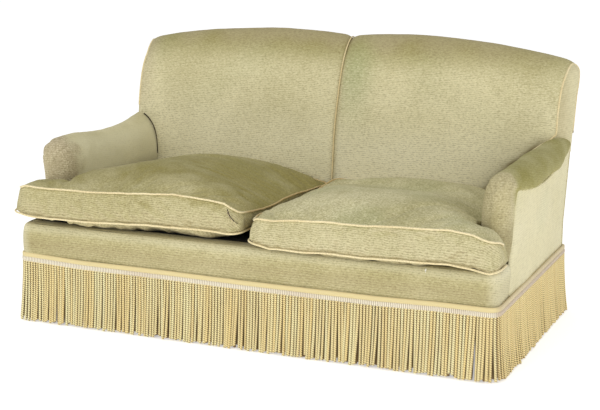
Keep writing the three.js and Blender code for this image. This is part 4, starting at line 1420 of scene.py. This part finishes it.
def fringe(material):
    """Two layers of cords all round, so that nothing but yarn shows between them."""
    tree = hung_cords(material)
    for layer, depth, pitch, seed in CORD_LAYERS:
        for run, spots in cord_points(depth, pitch, seed).items():
            piece = mesh_piece(f"{layer}_cords_{run}", [s["co"] for s in spots], [])
            for name in ("reach", "fatness", "own"):
                store(piece.data, name, [s[name] for s in spots])
            leans = piece.data.attributes.new("lean", "FLOAT_VECTOR", "POINT")
            leans.data.foreach_set("vector", [c for s in spots for c in s["lean"]])
            tree.apply_to(piece, Thickness=CORD_RADIUS, Length=UNIT_LENGTH, Sides=6, Segments=7,
                          Waver=0.0011, Seed=4 + seed)
            map_cords(piece.data, layer == "outer", run in ("front", "back"))
            replaced = ("bullion_fringe",) if run == "front" and layer == "outer" else ()
            fit_out(piece, material, "bullion_yarn", *replaced)


def map_cords(mesh, outer, across):
    """Gives cords their UV map, round the cord and down it, and their shade: the flank of a cord is the
    side that it turns to its neighbours."""
    turn, down, own = ([a.value for a in mesh.attributes[name].data] for name in ("turn", "down", "own"))
    layer = mesh.uv_layers.new(name="cloth")
    for polygon in mesh.polygons:
        corners = [(k, mesh.loops[k].vertex_index) for k in polygon.loop_indices]
        turns = [turn[v] for _, v in corners]
        wraps = max(turns) - min(turns) > 0.5
        for k, v in corners:
            layer.data[k].uv = (turn[v] + (1.0 if wraps and turn[v] < 0.5 else 0.0), down[v] * UNIT_LENGTH)
    # partly painted shade: the cords at the left and right ends get a darker, more orange tone against the
    # brighter light on them; each cord's own tone varies at random
    store(mesh, "strand_tone_and_side_shade", [o if across else 0.25 * o for o in own])
    wave = math.cos if across else math.sin
    store(mesh, "flank", [abs(wave(2 * math.pi * t)) for t in turn])
    store(mesh, "shaded", [0.0 if outer else 1.0] * len(own))


# ------------------------------------------------------------------ the hidden frame
def finish_frame():
    beech = {}
    for axis in "xyz":
        beech[axis] = timber(f"beech_{axis}", (0.62, 0.44, 0.27), (0.45, 0.29, 0.15), axis, 0.6)
    stained = timber("stained_leg", (0.12, 0.06, 0.03), (0.05, 0.025, 0.012), "z", 0.35)
    jute = woven("jute_webbing", (0.46, 0.34, 0.20), (0.30, 0.21, 0.11), 0.004)
    hessian = woven("hessian", (0.50, 0.40, 0.25), (0.36, 0.27, 0.15), 0.0022)
    lining = woven("black_lining", (0.03, 0.029, 0.028), (0.015, 0.015, 0.015), 0.0012, 0.9)
    hair, wire = curled_hair(), spring_wire()
    unlike_beech = (
        ("front_leg", stained), ("webbing", jute), ("canvas", hessian), ("dust_cover", lining),
        ("platform_cloth", lining), ("stuffing", hair), ("spring_0", wire), ("spring_1", wire),
    )
    for name, node in nodes.items():
        if node.hide_render:
            continue
        size = node.dimensions
        along = "xyz"[max(range(3), key=lambda i: size[i])]
        finish = beech[along]
        for part, other in unlike_beech:
            if part in name:
                finish = other
        node.data.materials.clear()
        node.data.materials.append(finish)


camera()
studio()
back_cloth = chenille("back_chenille", (0, 1, 1), (115, 180, 260), contrast=0.60, ribs=0.40)
border_cloth = chenille("border_chenille", (0, 0.3, 1), (135, 190, 260), contrast=0.66, ribs=0.35)
cushion_cloth = chenille("cushion_chenille", (0, 1, 1), (150, 200, 270), depth=0.001, contrast=0.80,
                         ribs=0.45)
side_cloth = chenille("side_chenille", (0, 0, 1), (150, 60, 110), contrast=0.22)
arm_cloth = chenille("arm_chenille", (0, 0.25, 1), (150, 150, 230), contrast=0.72, ribs=0.25)
cream_cord = piping_cloth()
back_panels(back_cloth)
back_borders(side_cloth)
outside_back(back_cloth)
for side, hand in SIDES:
    arm_cover(side, hand, arm_cloth)
    outside_arm(side, hand, side_cloth)
front_border(border_cloth)
for side, hand in SIDES:
    seat_cushion(side, hand, cushion_cloth, cream_cord)
shade = hollow_dark()
burst_corner(shade, cream_cord)
crease_shadow_lines(shade)
white_tuft(fluff())
back_piping(cream_cord)
heading(braid_heading())
fringe(bullion_yarn())
finish_frame()
